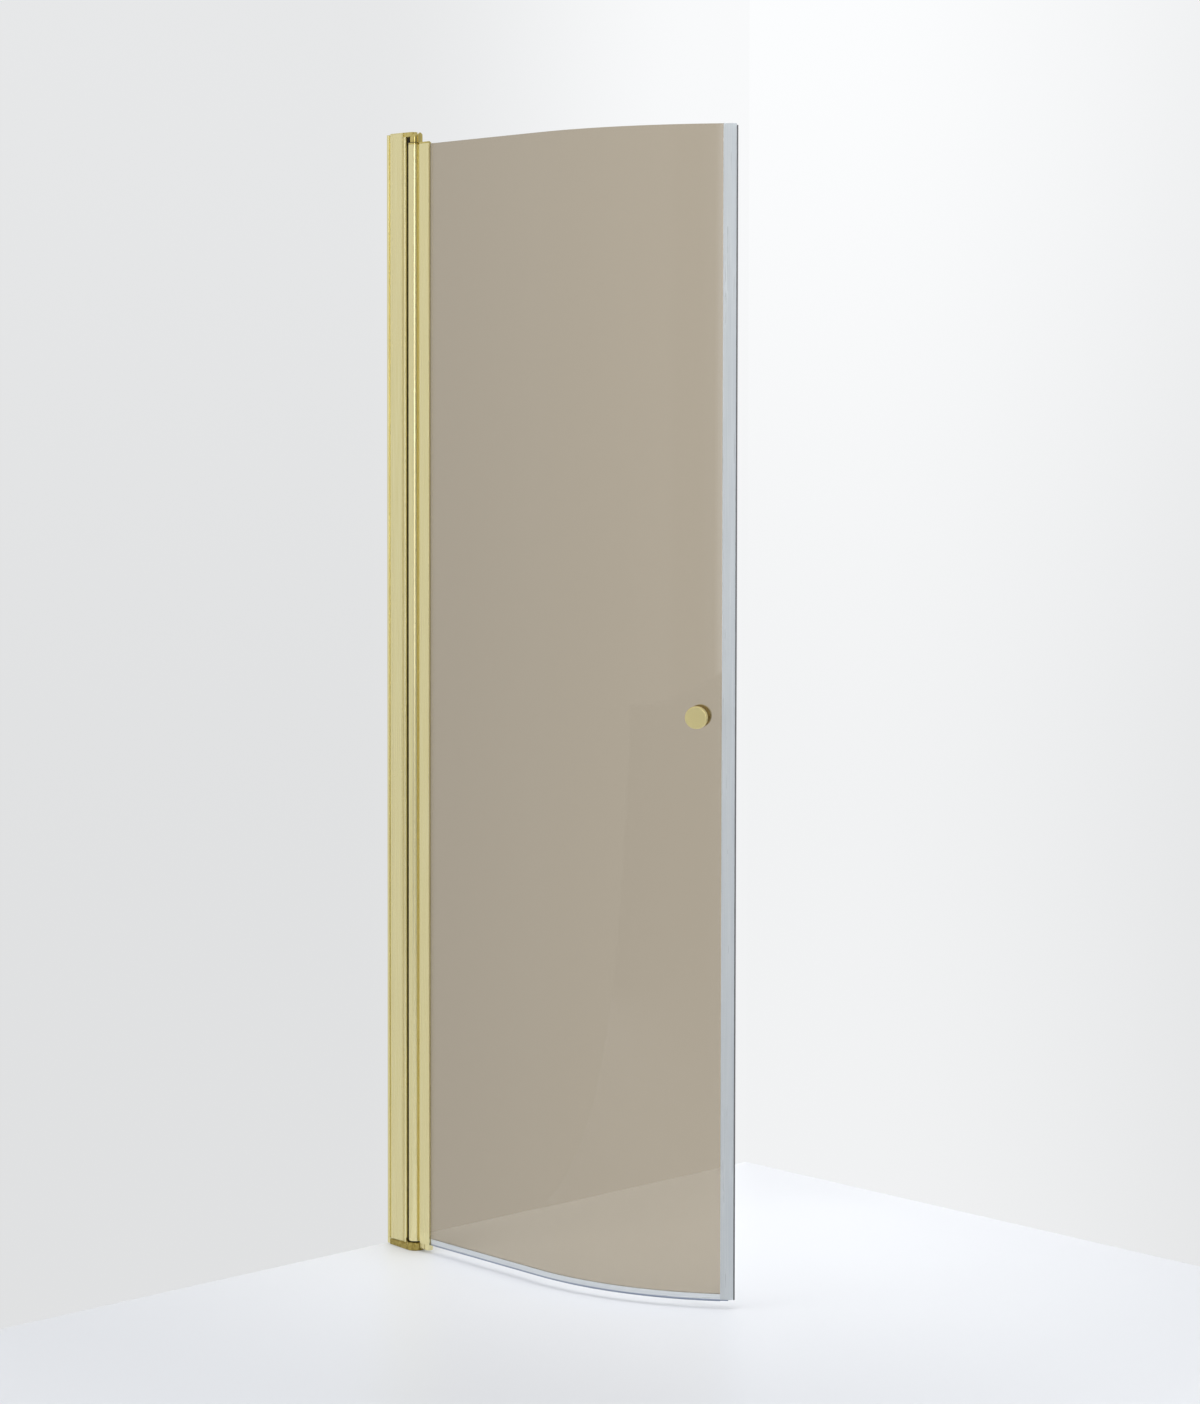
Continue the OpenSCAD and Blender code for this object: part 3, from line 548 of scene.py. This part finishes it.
# Pieces on the wall
def make_wall_side():
    """The wall channel: a U, cut short at the foot, with a recess on each side beside the profile."""
    inner_y = CHANNEL_Y - CHANNEL_WALL
    fork = mirrored([
        (0, -CHANNEL_Y), (RECESS_X0 - RECESS_EDGE, -CHANNEL_Y), (RECESS_X0, RECESS_EDGE - CHANNEL_Y),
        (RECESS_X0, -RECESS_Y), (RECESS_X1, -RECESS_Y), (RECESS_X1, -CHANNEL_Y),
        (CHANNEL_X1, -CHANNEL_Y), (CHANNEL_X1, -inner_y), (ROOT_X1, -inner_y), (ROOT_X1, -ROOT_Y),
        (CHANNEL_WALL, -ROOT_Y)])
    fork_low = mirrored([
        (0, -CHANNEL_Y), (RECESS_X1, -CHANNEL_Y), (RECESS_X1, -inner_y), (CHANNEL_WALL, -inner_y)])
    piece("channel_body", [
        carried([fork], soft_ends(CHANNEL_NOTCH_Z, CHANNEL_Z1, 0.1)),
        carried([fork_low], soft_ends(HAIR, CHANNEL_NOTCH_Z + 0.1, 0.1)),
    ], BRUSHED, "wall_side", "wall_channel")


# Pieces of the hinge frame
def profile_outline(with_end):
    """The hinge profile in plan: its front half, that half's mirror image, then the open fork.

    with_end adds the rounded end with the gasket's slot. Without it the chamber is open to the arm.
    """
    half = [(PROFILE_X0, -HALF_W), (BEAD_X1, -HALF_W), (BEAD_X1, -SUNK_Y)]
    radii = [BACK_R, BEAD_R, 0.1]
    for start, end, depth in FACE_GROOVES:
        half += groove(start, end, depth, SUNK_Y)
        radii += [0.12, 0.1, 0.1, 0.12]
    if with_end:
        half += [
            (ARM_X, -SUNK_Y), (ARM_X, -HALF_W), *groove(*END_GROOVE, HALF_W), (PROFILE_X1, -HALF_W),
            (PROFILE_X1, -NECK_Y - SLIP), (KEY_X1 + SLIP, -NECK_Y - SLIP),
            (KEY_X1 + SLIP, -KEY_Y - SLIP), (KEY_X0 - SLIP, -KEY_Y - SLIP)]
        radii += [0.1, BEAD_R, 0.15, 0.1, 0.1, 0.15, END_R, 0.2, 0.1, 0.1, 0.1]
    else:
        half += [(ARM_X, -SUNK_Y), (ARM_X, -CHAMBER_Y), (CHAMBER_X0, -CHAMBER_Y)]
        radii += [0.15, 0.15, 0.15]
    fork = [(PROFILE_X0, FIT_Y), (WEB_X, FIT_Y), (WEB_X, -FIT_Y), (PROFILE_X0, -FIT_Y)]
    return rounded(
        np.concatenate([mirrored(half), fork]), radii + radii[::-1] + [0.1, 0.3, 0.3, 0.1])


def make_profile():
    """The hinge profile and its top cap."""
    chamber = box_plan(CHAMBER_X0, CHAMBER_X1, -CHAMBER_Y, CHAMBER_Y)[::-1]
    piece("profile_body", [
        carried([profile_outline(True), chamber], soft_ends(PROFILE_Z0, ARM_Z - SLIP, 0.15)),
        carried([profile_outline(False)], soft_ends(ARM_Z - 0.1, PROFILE_Z1, 0.1)),
    ], BRUSHED, "hinge_frame", "hinge_profile")
    cap = mirrored_and_rounded([
        (PROFILE_X0, -HALF_W), (BEAD_X1, -HALF_W), (BEAD_X1, -SUNK_Y), (ARM_X - SLIP, -SUNK_Y)],
        [BACK_R, BEAD_R, 0.1, 0.3])
    piece("profile_cap", [carried([cap], soft_ends(PROFILE_Z1 + SLIP, TOTAL_H, 0.35))],
          BRUSHED, "hinge_frame", "profile_top_cap")


def block(low, high):
    """The block of the arm or the foot inside the profile."""
    plan = box_plan(BLOCK_X0, CHAMBER_X1 - SLIP, -ARM_Y, ARM_Y, BLOCK_R)
    return carried([plan], soft_ends(low, high, BLOCK_R))


def make_arm():
    """The arm, whose bar tapers along lines that touch its round nose, and the collar under it."""
    lean = touching_angle(NOSE_R, PIVOT_X - TAPER_X, ARM_Y)
    touch_x, touch_y = PIVOT_X - NOSE_R * math.cos(lean), NOSE_R * math.sin(lean)
    pivot_y = ARM_Y + (touch_y - ARM_Y) * (PIVOT_X - TAPER_X) / (touch_x - TAPER_X)
    bar = mirrored_and_rounded(
        [(ARM_X, -ARM_Y), (TAPER_X, -ARM_Y), (PIVOT_X, -pivot_y)], [0.3, 4, 1.5])
    ahead = math.degrees(math.pi - lean)
    web = np.concatenate([
        [(TAPER_X, -ARM_Y)], arc(PIVOT_X, 0, NOSE_R, -ahead, ahead, 24), [(TAPER_X, ARM_Y)]])
    shoulder = TOTAL_H - NOSE_SLOPE
    nose = [
        (0, ARM_Z), (NOSE_R - 0.4, ARM_Z), (NOSE_R, ARM_Z + 0.4), (NOSE_R, shoulder),
        (NOSE_R - 0.25, shoulder + 0.9), (NOSE_R - 2.95, TOTAL_H - 0.7),
        (NOSE_R - 3.4, TOTAL_H - 0.15), (NOSE_R - 3.9, TOTAL_H), (0, TOTAL_H)]
    piece("arm_body", [
        carried([bar], soft_ends(ARM_Z, TOTAL_H, 0.5)),
        carried([web], soft_ends(ARM_Z, shoulder, 0.2)),
        turned(nose, PIVOT),
        block(ARM_Z - BLOCK_H, PROFILE_Z1 - SLIP),
    ], PLATED, "hinge_frame", "upper_arm")
    top = ARM_Z - SLIP
    collar = [
        (PIN_HOLE_R, COLLAR_Z), (COLLAR_R - 0.5, COLLAR_Z), (COLLAR_R, COLLAR_Z + 0.5),
        (COLLAR_R, COLLAR_Z + 1.8), (COLLAR_R - 0.25, COLLAR_Z + 2.0), (COLLAR_R - 0.25, COLLAR_Z + 2.3),
        (COLLAR_R, COLLAR_Z + 2.5), (COLLAR_R, top - 0.5), (COLLAR_R - 0.5, top), (PIN_HOLE_R, top),
        (PIN_HOLE_R, COLLAR_Z)]
    piece("collar_body", [turned(collar, PIVOT)], PLATED, "hinge_frame", "upper_collar")


def make_foot():
    """The foot: its plate, its boss, which is cut flat beside the profile, and its block."""
    ahead = math.degrees(math.pi - touching_angle(FOOT_R, PIVOT_X - PROFILE_X0, FOOT_BACK_Y))
    steps = 5
    back = rounded([
        (PROFILE_X0, FOOT_BACK_Y), (PROFILE_X0, -FOOT_BACK_Y), (FLANK_X, -FLANK_Y), (FLANK_X, FLANK_Y)],
        [1, 1, 0.01, 0.01], steps)[:2 * steps]
    plate = np.concatenate([back, arc(PIVOT_X, 0, FOOT_R - HAIR, -ahead, ahead, 48)])
    boss = [
        (PIN_HOLE_R, 2), (0, 2), (0, 0), (FOOT_R - 0.7, 0), (FOOT_R, 0.7), (FOOT_R, 2.0),
        (FOOT_R - 0.35, 2.3), (FOOT_R - 0.35, 2.9), (FOOT_R, 3.2), (FOOT_R, FOOT_H - 1.8),
        (FOOT_R - 0.2, FOOT_H - 0.9), (FOOT_R - 0.8, FOOT_H - 0.25), (FOOT_R - 1.6, FOOT_H),
        (PIN_HOLE_R, FOOT_H), (PIN_HOLE_R, 2)]
    points, faces = turned(boss, PIVOT)
    beside = (points[:, 2] > PLATE_H) & (points[:, 0] < FOOT_CUT_X)
    points[:, 0] = np.where(beside, FOOT_CUT_X, points[:, 0])
    # The foot takes the plated zinc darkened by painted shade
    piece("foot_body", [
        carried([plate], soft_ends(HAIR, PLATE_H, 0.9)),
        (points, faces),
        block(PLATE_H - 1, PLATE_H + BLOCK_H),
    ], ZINC_IN_PAINTED_SHADE, "hinge_frame", "lower_foot")


def make_gap_lips():
    """The gasket in the profile's rounded end: key, neck and two lips that reach towards the barrel."""
    lips = mirrored_and_rounded([
        (KEY_X0, -KEY_Y), (KEY_X1, -KEY_Y), (KEY_X1, -NECK_Y), (LIP_X0, -NECK_Y),
        (LIP_X0, -LIP_Y), (LIP_X1, -LIP_Y), (LIP_X1, -LIP_IN_Y), (LIP_IN_X, -LIP_IN_Y)],
        [0.2, 0.2, 0.2, 0.2, 0.5, 0.6, 0.6, 0.3], 4)
    piece("gap_lips", [carried([lips], soft_ends(FOOT_H + 0.2, ARM_Z - 1, 0.3))],
          RUBBER, "hinge_frame", "gap_gasket")


# Pieces of the leaf
def stile_plan(inner):
    """The stile in plan: front hollow, clamp, the points of its inner side, rear hollow and barrel."""
    front = [
        (CLAMP_X0 - 1.3, -2.08), (CLAMP_X0, -3.4), (CLAMP_X0, 0.3 - CLAMP_Y), (CLAMP_X0 + 0.3, -CLAMP_Y)]
    clamp_at = math.degrees(math.asin(CLAMP_Y / BARREL_R))
    return np.concatenate([
        front, arc(STILE_X1 - CLAMP_R, CLAMP_R - CLAMP_Y, CLAMP_R, -90, 0, 7),
        arc(STILE_X1 - MOUTH_R, -SLOT_Y - MOUTH_R, MOUTH_R, 0, 90, 5), inner,
        arc(HOLLOW_X, HOLLOW_Y, HOLLOW_R, -38, -142, 14), arc(PIVOT_X, 0, BARREL_R, clamp_at, 350, 72)])


# The hole for the bushes, which runs clockwise as a hole does
BUSH_HOLE = arc(PIVOT_X, 0, BUSH_R, 360, 0, 49)[:-1]


def make_stile():
    """The stile with its hole for the bushes, and the clamp bar beside the glass."""
    seat_x, seat_y = BAR_X0 - SLIP, SLOT_Y - SLIP
    inner = np.concatenate([
        [(SLOT_X, -SLOT_Y), (SLOT_X, seat_y), (seat_x, seat_y)],
        arc(seat_x - MOUTH_R, CLAMP_Y - MOUTH_R, MOUTH_R, 0, 90, 5)])
    stations = soft_ends(STILE_Z0, STILE_BAR_Z1, 0.15)
    piece("stile_body", [carried([stile_plan(inner), BUSH_HOLE], stations)],
          BRUSHED, "leaf", "door_stile")
    bar = box_plan(BAR_X0, BAR_X1, SLOT_Y, CLAMP_Y, BAR_R)
    piece("bar_body", [carried([bar], stations)], BRUSHED, "leaf", "clamp_bar")


def round_pivot(points):
    """Radius, height, angle in degrees -> a point round the pivot, its top falling off to both ends.

    top = LUG_Z1 - LUG_FALL * (abs(y) - LUG_CREST) / LUG_RUN, with the fraction kept from 0 to 1.
    """
    radius, height, angle = points.T
    x, y = PIVOT_X + radius * np.cos(np.radians(angle)), radius * np.sin(np.radians(angle))
    top = LUG_Z1 - LUG_FALL * np.clip((abs(y) - LUG_CREST) / LUG_RUN, 0, 1)
    return np.stack([x, y, np.minimum(height, top)], 1)


def make_stile_caps():
    """The stile's top cap with its lug round the collar, and its foot cap with its tongue."""
    inner = np.concatenate([
        [(BAR_X1, -SLOT_Y)], arc(BAR_X1 - BAR_R, CLAMP_Y - BAR_R, BAR_R, 0, 90, 5)])
    lug = rounded([
        (LUG_IN, STILE_Z1 - 0.5), (LUG_OUT, STILE_Z1 - 0.5), (LUG_OUT, LUG_Z1 - 2), (LUG_OUT - 1, LUG_Z1),
        (LUG_IN + 2, LUG_Z1), (LUG_IN, LUG_Z1 - LUG_FALL)], [0.05, 0.05, 0.8, 0.5, 0.5, 0.8], 5)
    piece("top_cap_body", [
        carried([stile_plan(inner), BUSH_HOLE], soft_ends(STILE_BAR_Z1 + SLIP, STILE_Z1, 0.4)),
        carried([lug], soft_ends(-LUG_TURN, LUG_TURN, 0.6, between=19), round_pivot),
    ], PLATED, "leaf", "stile_top_cap")
    tongue = np.concatenate([
        [(TONGUE_X0, -TONGUE_Y)], arc(TONGUE_X, 0, TONGUE_R, -TONGUE_TURN, TONGUE_TURN, 48),
        [(TONGUE_X0, TONGUE_Y)], arc(PIVOT_X, 0, TONGUE_BACK_R, TONGUE_BACK_TURN, -TONGUE_BACK_TURN, 8)])
    piece("foot_cap_body", [carried([tongue], soft_ends(STILE_Z0 - TONGUE_H, STILE_Z0 - SLIP, 1.0, 4))],
          BRUSHED, "leaf", "stile_foot_cap")


def make_glass():
    """The bent pane with ground edges, and the glazing strips that hold it in the clamp."""
    bend = np.linspace(BEND_X, GLASS_END - GROUND, 72)
    along = np.concatenate([[GLASS_X + GROUND], bend])
    front = np.stack([along, np.full(len(along), -GLASS_Y)], 1)
    edge_y = GLASS_Y - GROUND
    pane = np.concatenate([
        front, [(GLASS_END, -edge_y), (GLASS_END, edge_y)],
        front[::-1] * (1, -1), [(GLASS_X, edge_y), (GLASS_X, -edge_y)]])
    glass = piece("glass_pane", [carried([pane], soft_ends(GLASS_Z0, GLASS_Z1, GROUND, 2), plan_on_leaf)],
                  GLASS, "leaf", "glass_panel", sharp=50)
    # The lamps' light passes the pane as it passes real glass, which a shadow ray can't follow
    glass.visible_shadow = False
    glass.visible_diffuse = False
    strip_in, strip_out = GLASS_Y + SLIP, SLOT_Y - SLIP
    # The glazing strips take the PVC darkened by painted shade and painted reflection
    for name, y0, y1, x1, node in (
        ("outer_strip", -strip_out, -strip_in, STILE_X1 - 0.5, "outer_glazing_gasket"),
        ("inner_strip", strip_in, strip_out, BAR_X1 - 0.5, "inner_glazing_gasket"),
    ):
        strip = box_plan(GLASS_X, x1, y0, y1, 0.4)
        piece(name, [carried([strip], soft_ends(GLASS_Z0, GLASS_Z1, 0.2))],
              GLAZING_PVC_PAINTED_SHADE, "leaf", node)


def make_bottom_seal():
    """The seal under the glass: a clip with a slanted drip lip, and a plain end at the closing seal."""
    base, top, glass_at = RAIL_Z0, RAIL_Z0 + RAIL_LEG, GLASS_Z0 - SLIP
    drip_lip = [(0.9, base), (4.3, 12.2), (5.25, 12.4), (2.7, base)]
    clip = rounded([
        (-SEAL_OUT, base), *drip_lip, (SEAL_OUT, base), (SEAL_OUT, top), (SEAL_IN, top),
        (SEAL_IN, glass_at), (-SEAL_IN, glass_at), (-SEAL_IN, top), (-SEAL_OUT, top)],
        [0.5, 0.3, 0.3, 0.3, 0.3, 0.3, 0.5, 0.3, 0.2, 0.2, 0.3, 0.5], 4)
    bend = np.linspace(BEND_X, SEAL_START - 0.4, 64)
    stations = np.concatenate([
        soft_start(0.3) + (STILE_X1 + 0.6, 0), np.stack([bend, bend * 0], 1), [(SEAL_START - SLIP, 0.3)]])
    plain = box_plan(-SEAL_OUT, SEAL_OUT, base, glass_at, 0.4)
    piece("bottom_rail", [
        carried([clip], stations, on_leaf),
        carried([plain], soft_ends(SEAL_START - 4, GLASS_END, 0.3, between=4), on_leaf),
    ], RAIL, "leaf", "bottom_seal")


def make_closing_seal():
    """The seal on the glass's edge, an H in plan, and the magnet strip that closes its open side."""
    floor_in, floor_out = GLASS_END + SLIP, GLASS_END + SEAL_FLOOR
    seal = rounded([
        (SEAL_START, -SEAL_OUT), (SEAL_END, -SEAL_OUT), (SEAL_END, -SEAL_IN), (floor_out, -SEAL_IN),
        (floor_out, SEAL_IN), (SEAL_END, SEAL_IN), (SEAL_END, SEAL_OUT), (SEAL_START, SEAL_OUT),
        (SEAL_START, SEAL_IN), (floor_in, SEAL_IN), (floor_in, -SEAL_IN), (SEAL_START, -SEAL_IN)],
        [0.5, 0.2, 0.2, 0.5, 0.5, 0.2, 0.2, 0.5, 0.4, 0.2, 0.2, 0.4], 5)
    piece("closing_lip", [carried([seal], soft_ends(GLASS_Z0, GLASS_Z1, 0.3), plan_on_leaf)],
          VINYL, "leaf", "closing_seal")
    magnet = box_plan(SEAL_END + SLIP, SEAL_END + MAGNET_W, -SEAL_OUT, SEAL_OUT, 0.5)
    piece("magnet_core", [
        carried([magnet], soft_ends(GLASS_Z0, GLASS_Z1 - MAGNET_DROP, 0.3), plan_on_leaf),
    ], MAGNET, "leaf", "magnet_strip")


def make_knobs():
    """A knob on each side: point = the glass's middle there, plus the lathe shape along its normal."""
    sin, cos = math.sin(KNOB_ANGLE), math.cos(KNOB_ANGLE)
    middle = np.array([BEND_X + BEND_R * sin, BEND_R - BEND_R * cos, KNOB_Z])
    points, faces = turned(KNOB_PROFILE, columns=128)
    for side, node in ((1, "knob_outer"), (-1, "knob_inner")):
        axes = np.array([(cos * side, sin * side, 0), (0, 0, 1), (sin * side, -cos * side, 0)])
        piece(node + "_body", [(middle + points @ axes, faces)], TURNED, "leaf", node, sharp=24)


make_wall_side()
make_profile()
make_arm()
make_foot()
make_gap_lips()
make_stile()
make_stile_caps()
make_glass()
make_bottom_seal()
make_closing_seal()
make_knobs()


# Floor, backdrop and light
def stage_plane(name, corners, material):
    """A flat stage piece from four corners in metres, counter-clockwise seen from its front."""
    mesh = bpy.data.meshes.new(name)
    mesh.from_pydata(corners, [], [(0, 1, 2, 3)])
    mesh.materials.append(material)
    plane = bpy.data.objects.new(name, mesh)
    bpy.context.scene.collection.objects.link(plane)
    return plane


def mirror_ray(tree):
    """1 for a ray that a surface mirrors, 0 for one that passes through glass."""
    path = add(tree, "LightPath")
    return add(tree, "Math", {
        0: path.outputs["Is Glossy Ray"], 1: path.outputs["Is Transmission Ray"]},
        operation="SUBTRACT", use_clamp=True).outputs[0]


def floor_with_painted_light():
    """Matt white floor with painted light: pale in the corner of the backdrops and darker away from it,
    standing in for the light that falls most in that corner.

    Rolling it on leaves a faint mottle in patches of about 330 mm.
    """
    paint, tree = blank("matt_white_floor_with_painted_light")
    mottle = grain(tree, (3, 3, 3))
    place = add(tree, "TexCoord")
    away = add(tree, "VectorMath", {
        0: place.outputs["Object"], 1: (0.0, CORNER_Y, 0.0)}, operation="DISTANCE")
    # Painted light: the floor's colour darkens with distance from the corner
    share = add(tree, "MapRange", {
        "Value": away.outputs["Value"], "From Min": FLOOR_PAINTED_LIGHT_FADE[0], "From Max": FLOOR_PAINTED_LIGHT_FADE[1]},
        interpolation_type="SMOOTHSTEP")
    pale = add(tree, "Mix", {
        "Factor": mottle, "A": linear("#F1F3F6"), "B": linear("#F4F6F9")}, data_type="RGBA")
    tone = add(tree, "Mix", {
        "Factor": share.outputs[0], "A": pale.outputs["Result"], "B": linear("#CCCED1")},
        data_type="RGBA")
    shader = add(tree, "BsdfPrincipled", {"Base Color": tone.outputs["Result"], "Roughness": 0.4})
    add(tree, "OutputMaterial", {"Surface": shader.outputs[0]})
    return paint


def backdrop(name, axis, run, levels, lift, mirror_share):
    """A pale backdrop that glows, seen only from its front.

    Its glow, painted light, goes from levels[0] to levels[1] between the two places of run on its axis,
    and rises with height by lift. Metal mirrors it at mirror_share.
    """
    material, tree = blank(name)
    place = add(tree, "TexCoord")
    split = add(tree, "SeparateXYZ", {"Vector": place.outputs["Object"]})
    across = add(tree, "MapRange", {
        "Value": split.outputs[axis], "From Min": run[0], "From Max": run[1],
        "To Min": levels[0], "To Max": levels[1]}, interpolation_type="SMOOTHSTEP")
    higher = add(tree, "MapRange", {
        "Value": split.outputs["Z"], "From Min": BACKDROP_RISE[0], "From Max": BACKDROP_RISE[1],
        "To Min": 1.0, "To Max": 1.0 + lift}, interpolation_type="SMOOTHSTEP")
    dimmed = add(tree, "MapRange", {"Value": mirror_ray(tree), "To Min": 1.0, "To Max": mirror_share})
    level = add(tree, "Math", {0: across.outputs[0], 1: higher.outputs[0]}, operation="MULTIPLY")
    level = add(tree, "Math", {0: level.outputs[0], 1: dimmed.outputs[0]}, operation="MULTIPLY")
    glow = add(tree, "Emission", {"Color": linear("#FBFCFD"), "Strength": level.outputs[0]})
    clear = add(tree, "BsdfTransparent")
    side = add(tree, "NewGeometry")
    both = add(tree, "MixShader", {
        0: side.outputs["Backfacing"], 1: glow.outputs[0], 2: clear.outputs[0]})
    add(tree, "OutputMaterial", {"Surface": both.outputs[0]})
    return material


def make_floor_and_backdrops():
    """A pale floor that keeps the shadow, and two pale backdrops that meet behind the door."""
    stage_plane("floor", [
        (-REACH, -REACH, 0), (REACH, -REACH, 0), (REACH, REACH, 0), (-REACH, REACH, 0)], floor_with_painted_light())
    # Both backdrops glow with painted light: brighter towards their corner and higher up
    side_glow = backdrop("pale_backdrop_side_painted_light", "Y", (-0.1, 0.8), (0.775, 0.92), 0.07, 1.0)
    rear_glow = backdrop("pale_backdrop_rear_painted_light", "X", (2.4, 0.2), (0.67, 0.915), 0.105, 0.7)
    for plane in (
        stage_plane("backdrop_side", [
            (CORNER_X, -REACH, 0), (CORNER_X, CORNER_Y, 0), (CORNER_X, CORNER_Y, STAGE_H),
            (CORNER_X, -REACH, STAGE_H)], side_glow),
        stage_plane("backdrop_rear", [
            (CORNER_X, CORNER_Y, 0), (REACH, CORNER_Y, 0), (REACH, CORNER_Y, STAGE_H),
            (CORNER_X, CORNER_Y, STAGE_H)], rear_glow),
    ):
        plane.visible_diffuse = False
        plane.visible_shadow = False


def make_world():
    """The studio round the door: an even level, and for mirrored rays soft glows by compass angle.

    A glow's strength is a soft step of the cosine between the ray, laid level, and the glow's heading.
    """
    world, tree = blank("studio", bpy.data.worlds)
    path = add(tree, "LightPath")
    seen = add(tree, "Math", {
        0: path.outputs["Is Camera Ray"], 1: path.outputs["Is Transmission Ray"]}, operation="MAXIMUM")
    plain = add(tree, "MapRange", {"Value": seen.outputs[0], "To Min": WORLD_LIGHT, "To Max": WORLD_SEEN})
    place = add(tree, "TexCoord")
    laid = add(tree, "VectorMath", {0: place.outputs["Generated"], 1: (1, 1, 0.3)}, operation="MULTIPLY")
    heading = add(tree, "VectorMath", {0: laid.outputs[0]}, operation="NORMALIZE")
    shine = STUDIO_GLOSS
    for compass, full, wide, strength in STUDIO_GLOWS:
        angle = math.radians(compass)
        facing = add(tree, "VectorMath", {
            0: heading.outputs[0], 1: (math.cos(angle), math.sin(angle), 0)}, operation="DOT_PRODUCT")
        glow = add(tree, "MapRange", {
            "Value": facing.outputs["Value"], "From Min": math.cos(math.radians(wide)),
            "From Max": math.cos(math.radians(full)), "To Min": 0.0, "To Max": strength},
            interpolation_type="SMOOTHSTEP")
        shine = add(tree, "Math", {0: shine, 1: glow.outputs[0]}, operation="ADD").outputs[0]
    level = add(tree, "Mix", {0: mirror_ray(tree), 2: plain.outputs[0], 3: shine}, data_type="FLOAT")
    sky = add(tree, "Background", {"Color": linear("#FBFCFF"), "Strength": level.outputs[0]})
    add(tree, "OutputWorld", {"Surface": sky.outputs[0]})
    bpy.context.scene.world = world
    bpy.context.scene.view_settings.view_transform = "Standard"


def make_lamps():
    """Soft boxes that light the door but aren't seen, mirrored or looked at through the glass."""
    for name, at, size, power in LAMPS:
        lamp = bpy.data.lights.new(name, "AREA")
        lamp.shape, lamp.size, lamp.size_y = "RECTANGLE", *size
        lamp.energy = power
        box = bpy.data.objects.new(name, lamp)
        aim = Vector(LAMPS_AIM) - Vector(at)
        box.matrix_world = Matrix.Translation(at) @ aim.to_track_quat("-Z", "Y").to_matrix().to_4x4()
        box.visible_camera = False
        box.visible_transmission = False
        box.visible_glossy = False
        bpy.context.scene.collection.objects.link(box)


make_floor_and_backdrops()
make_world()
make_lamps()
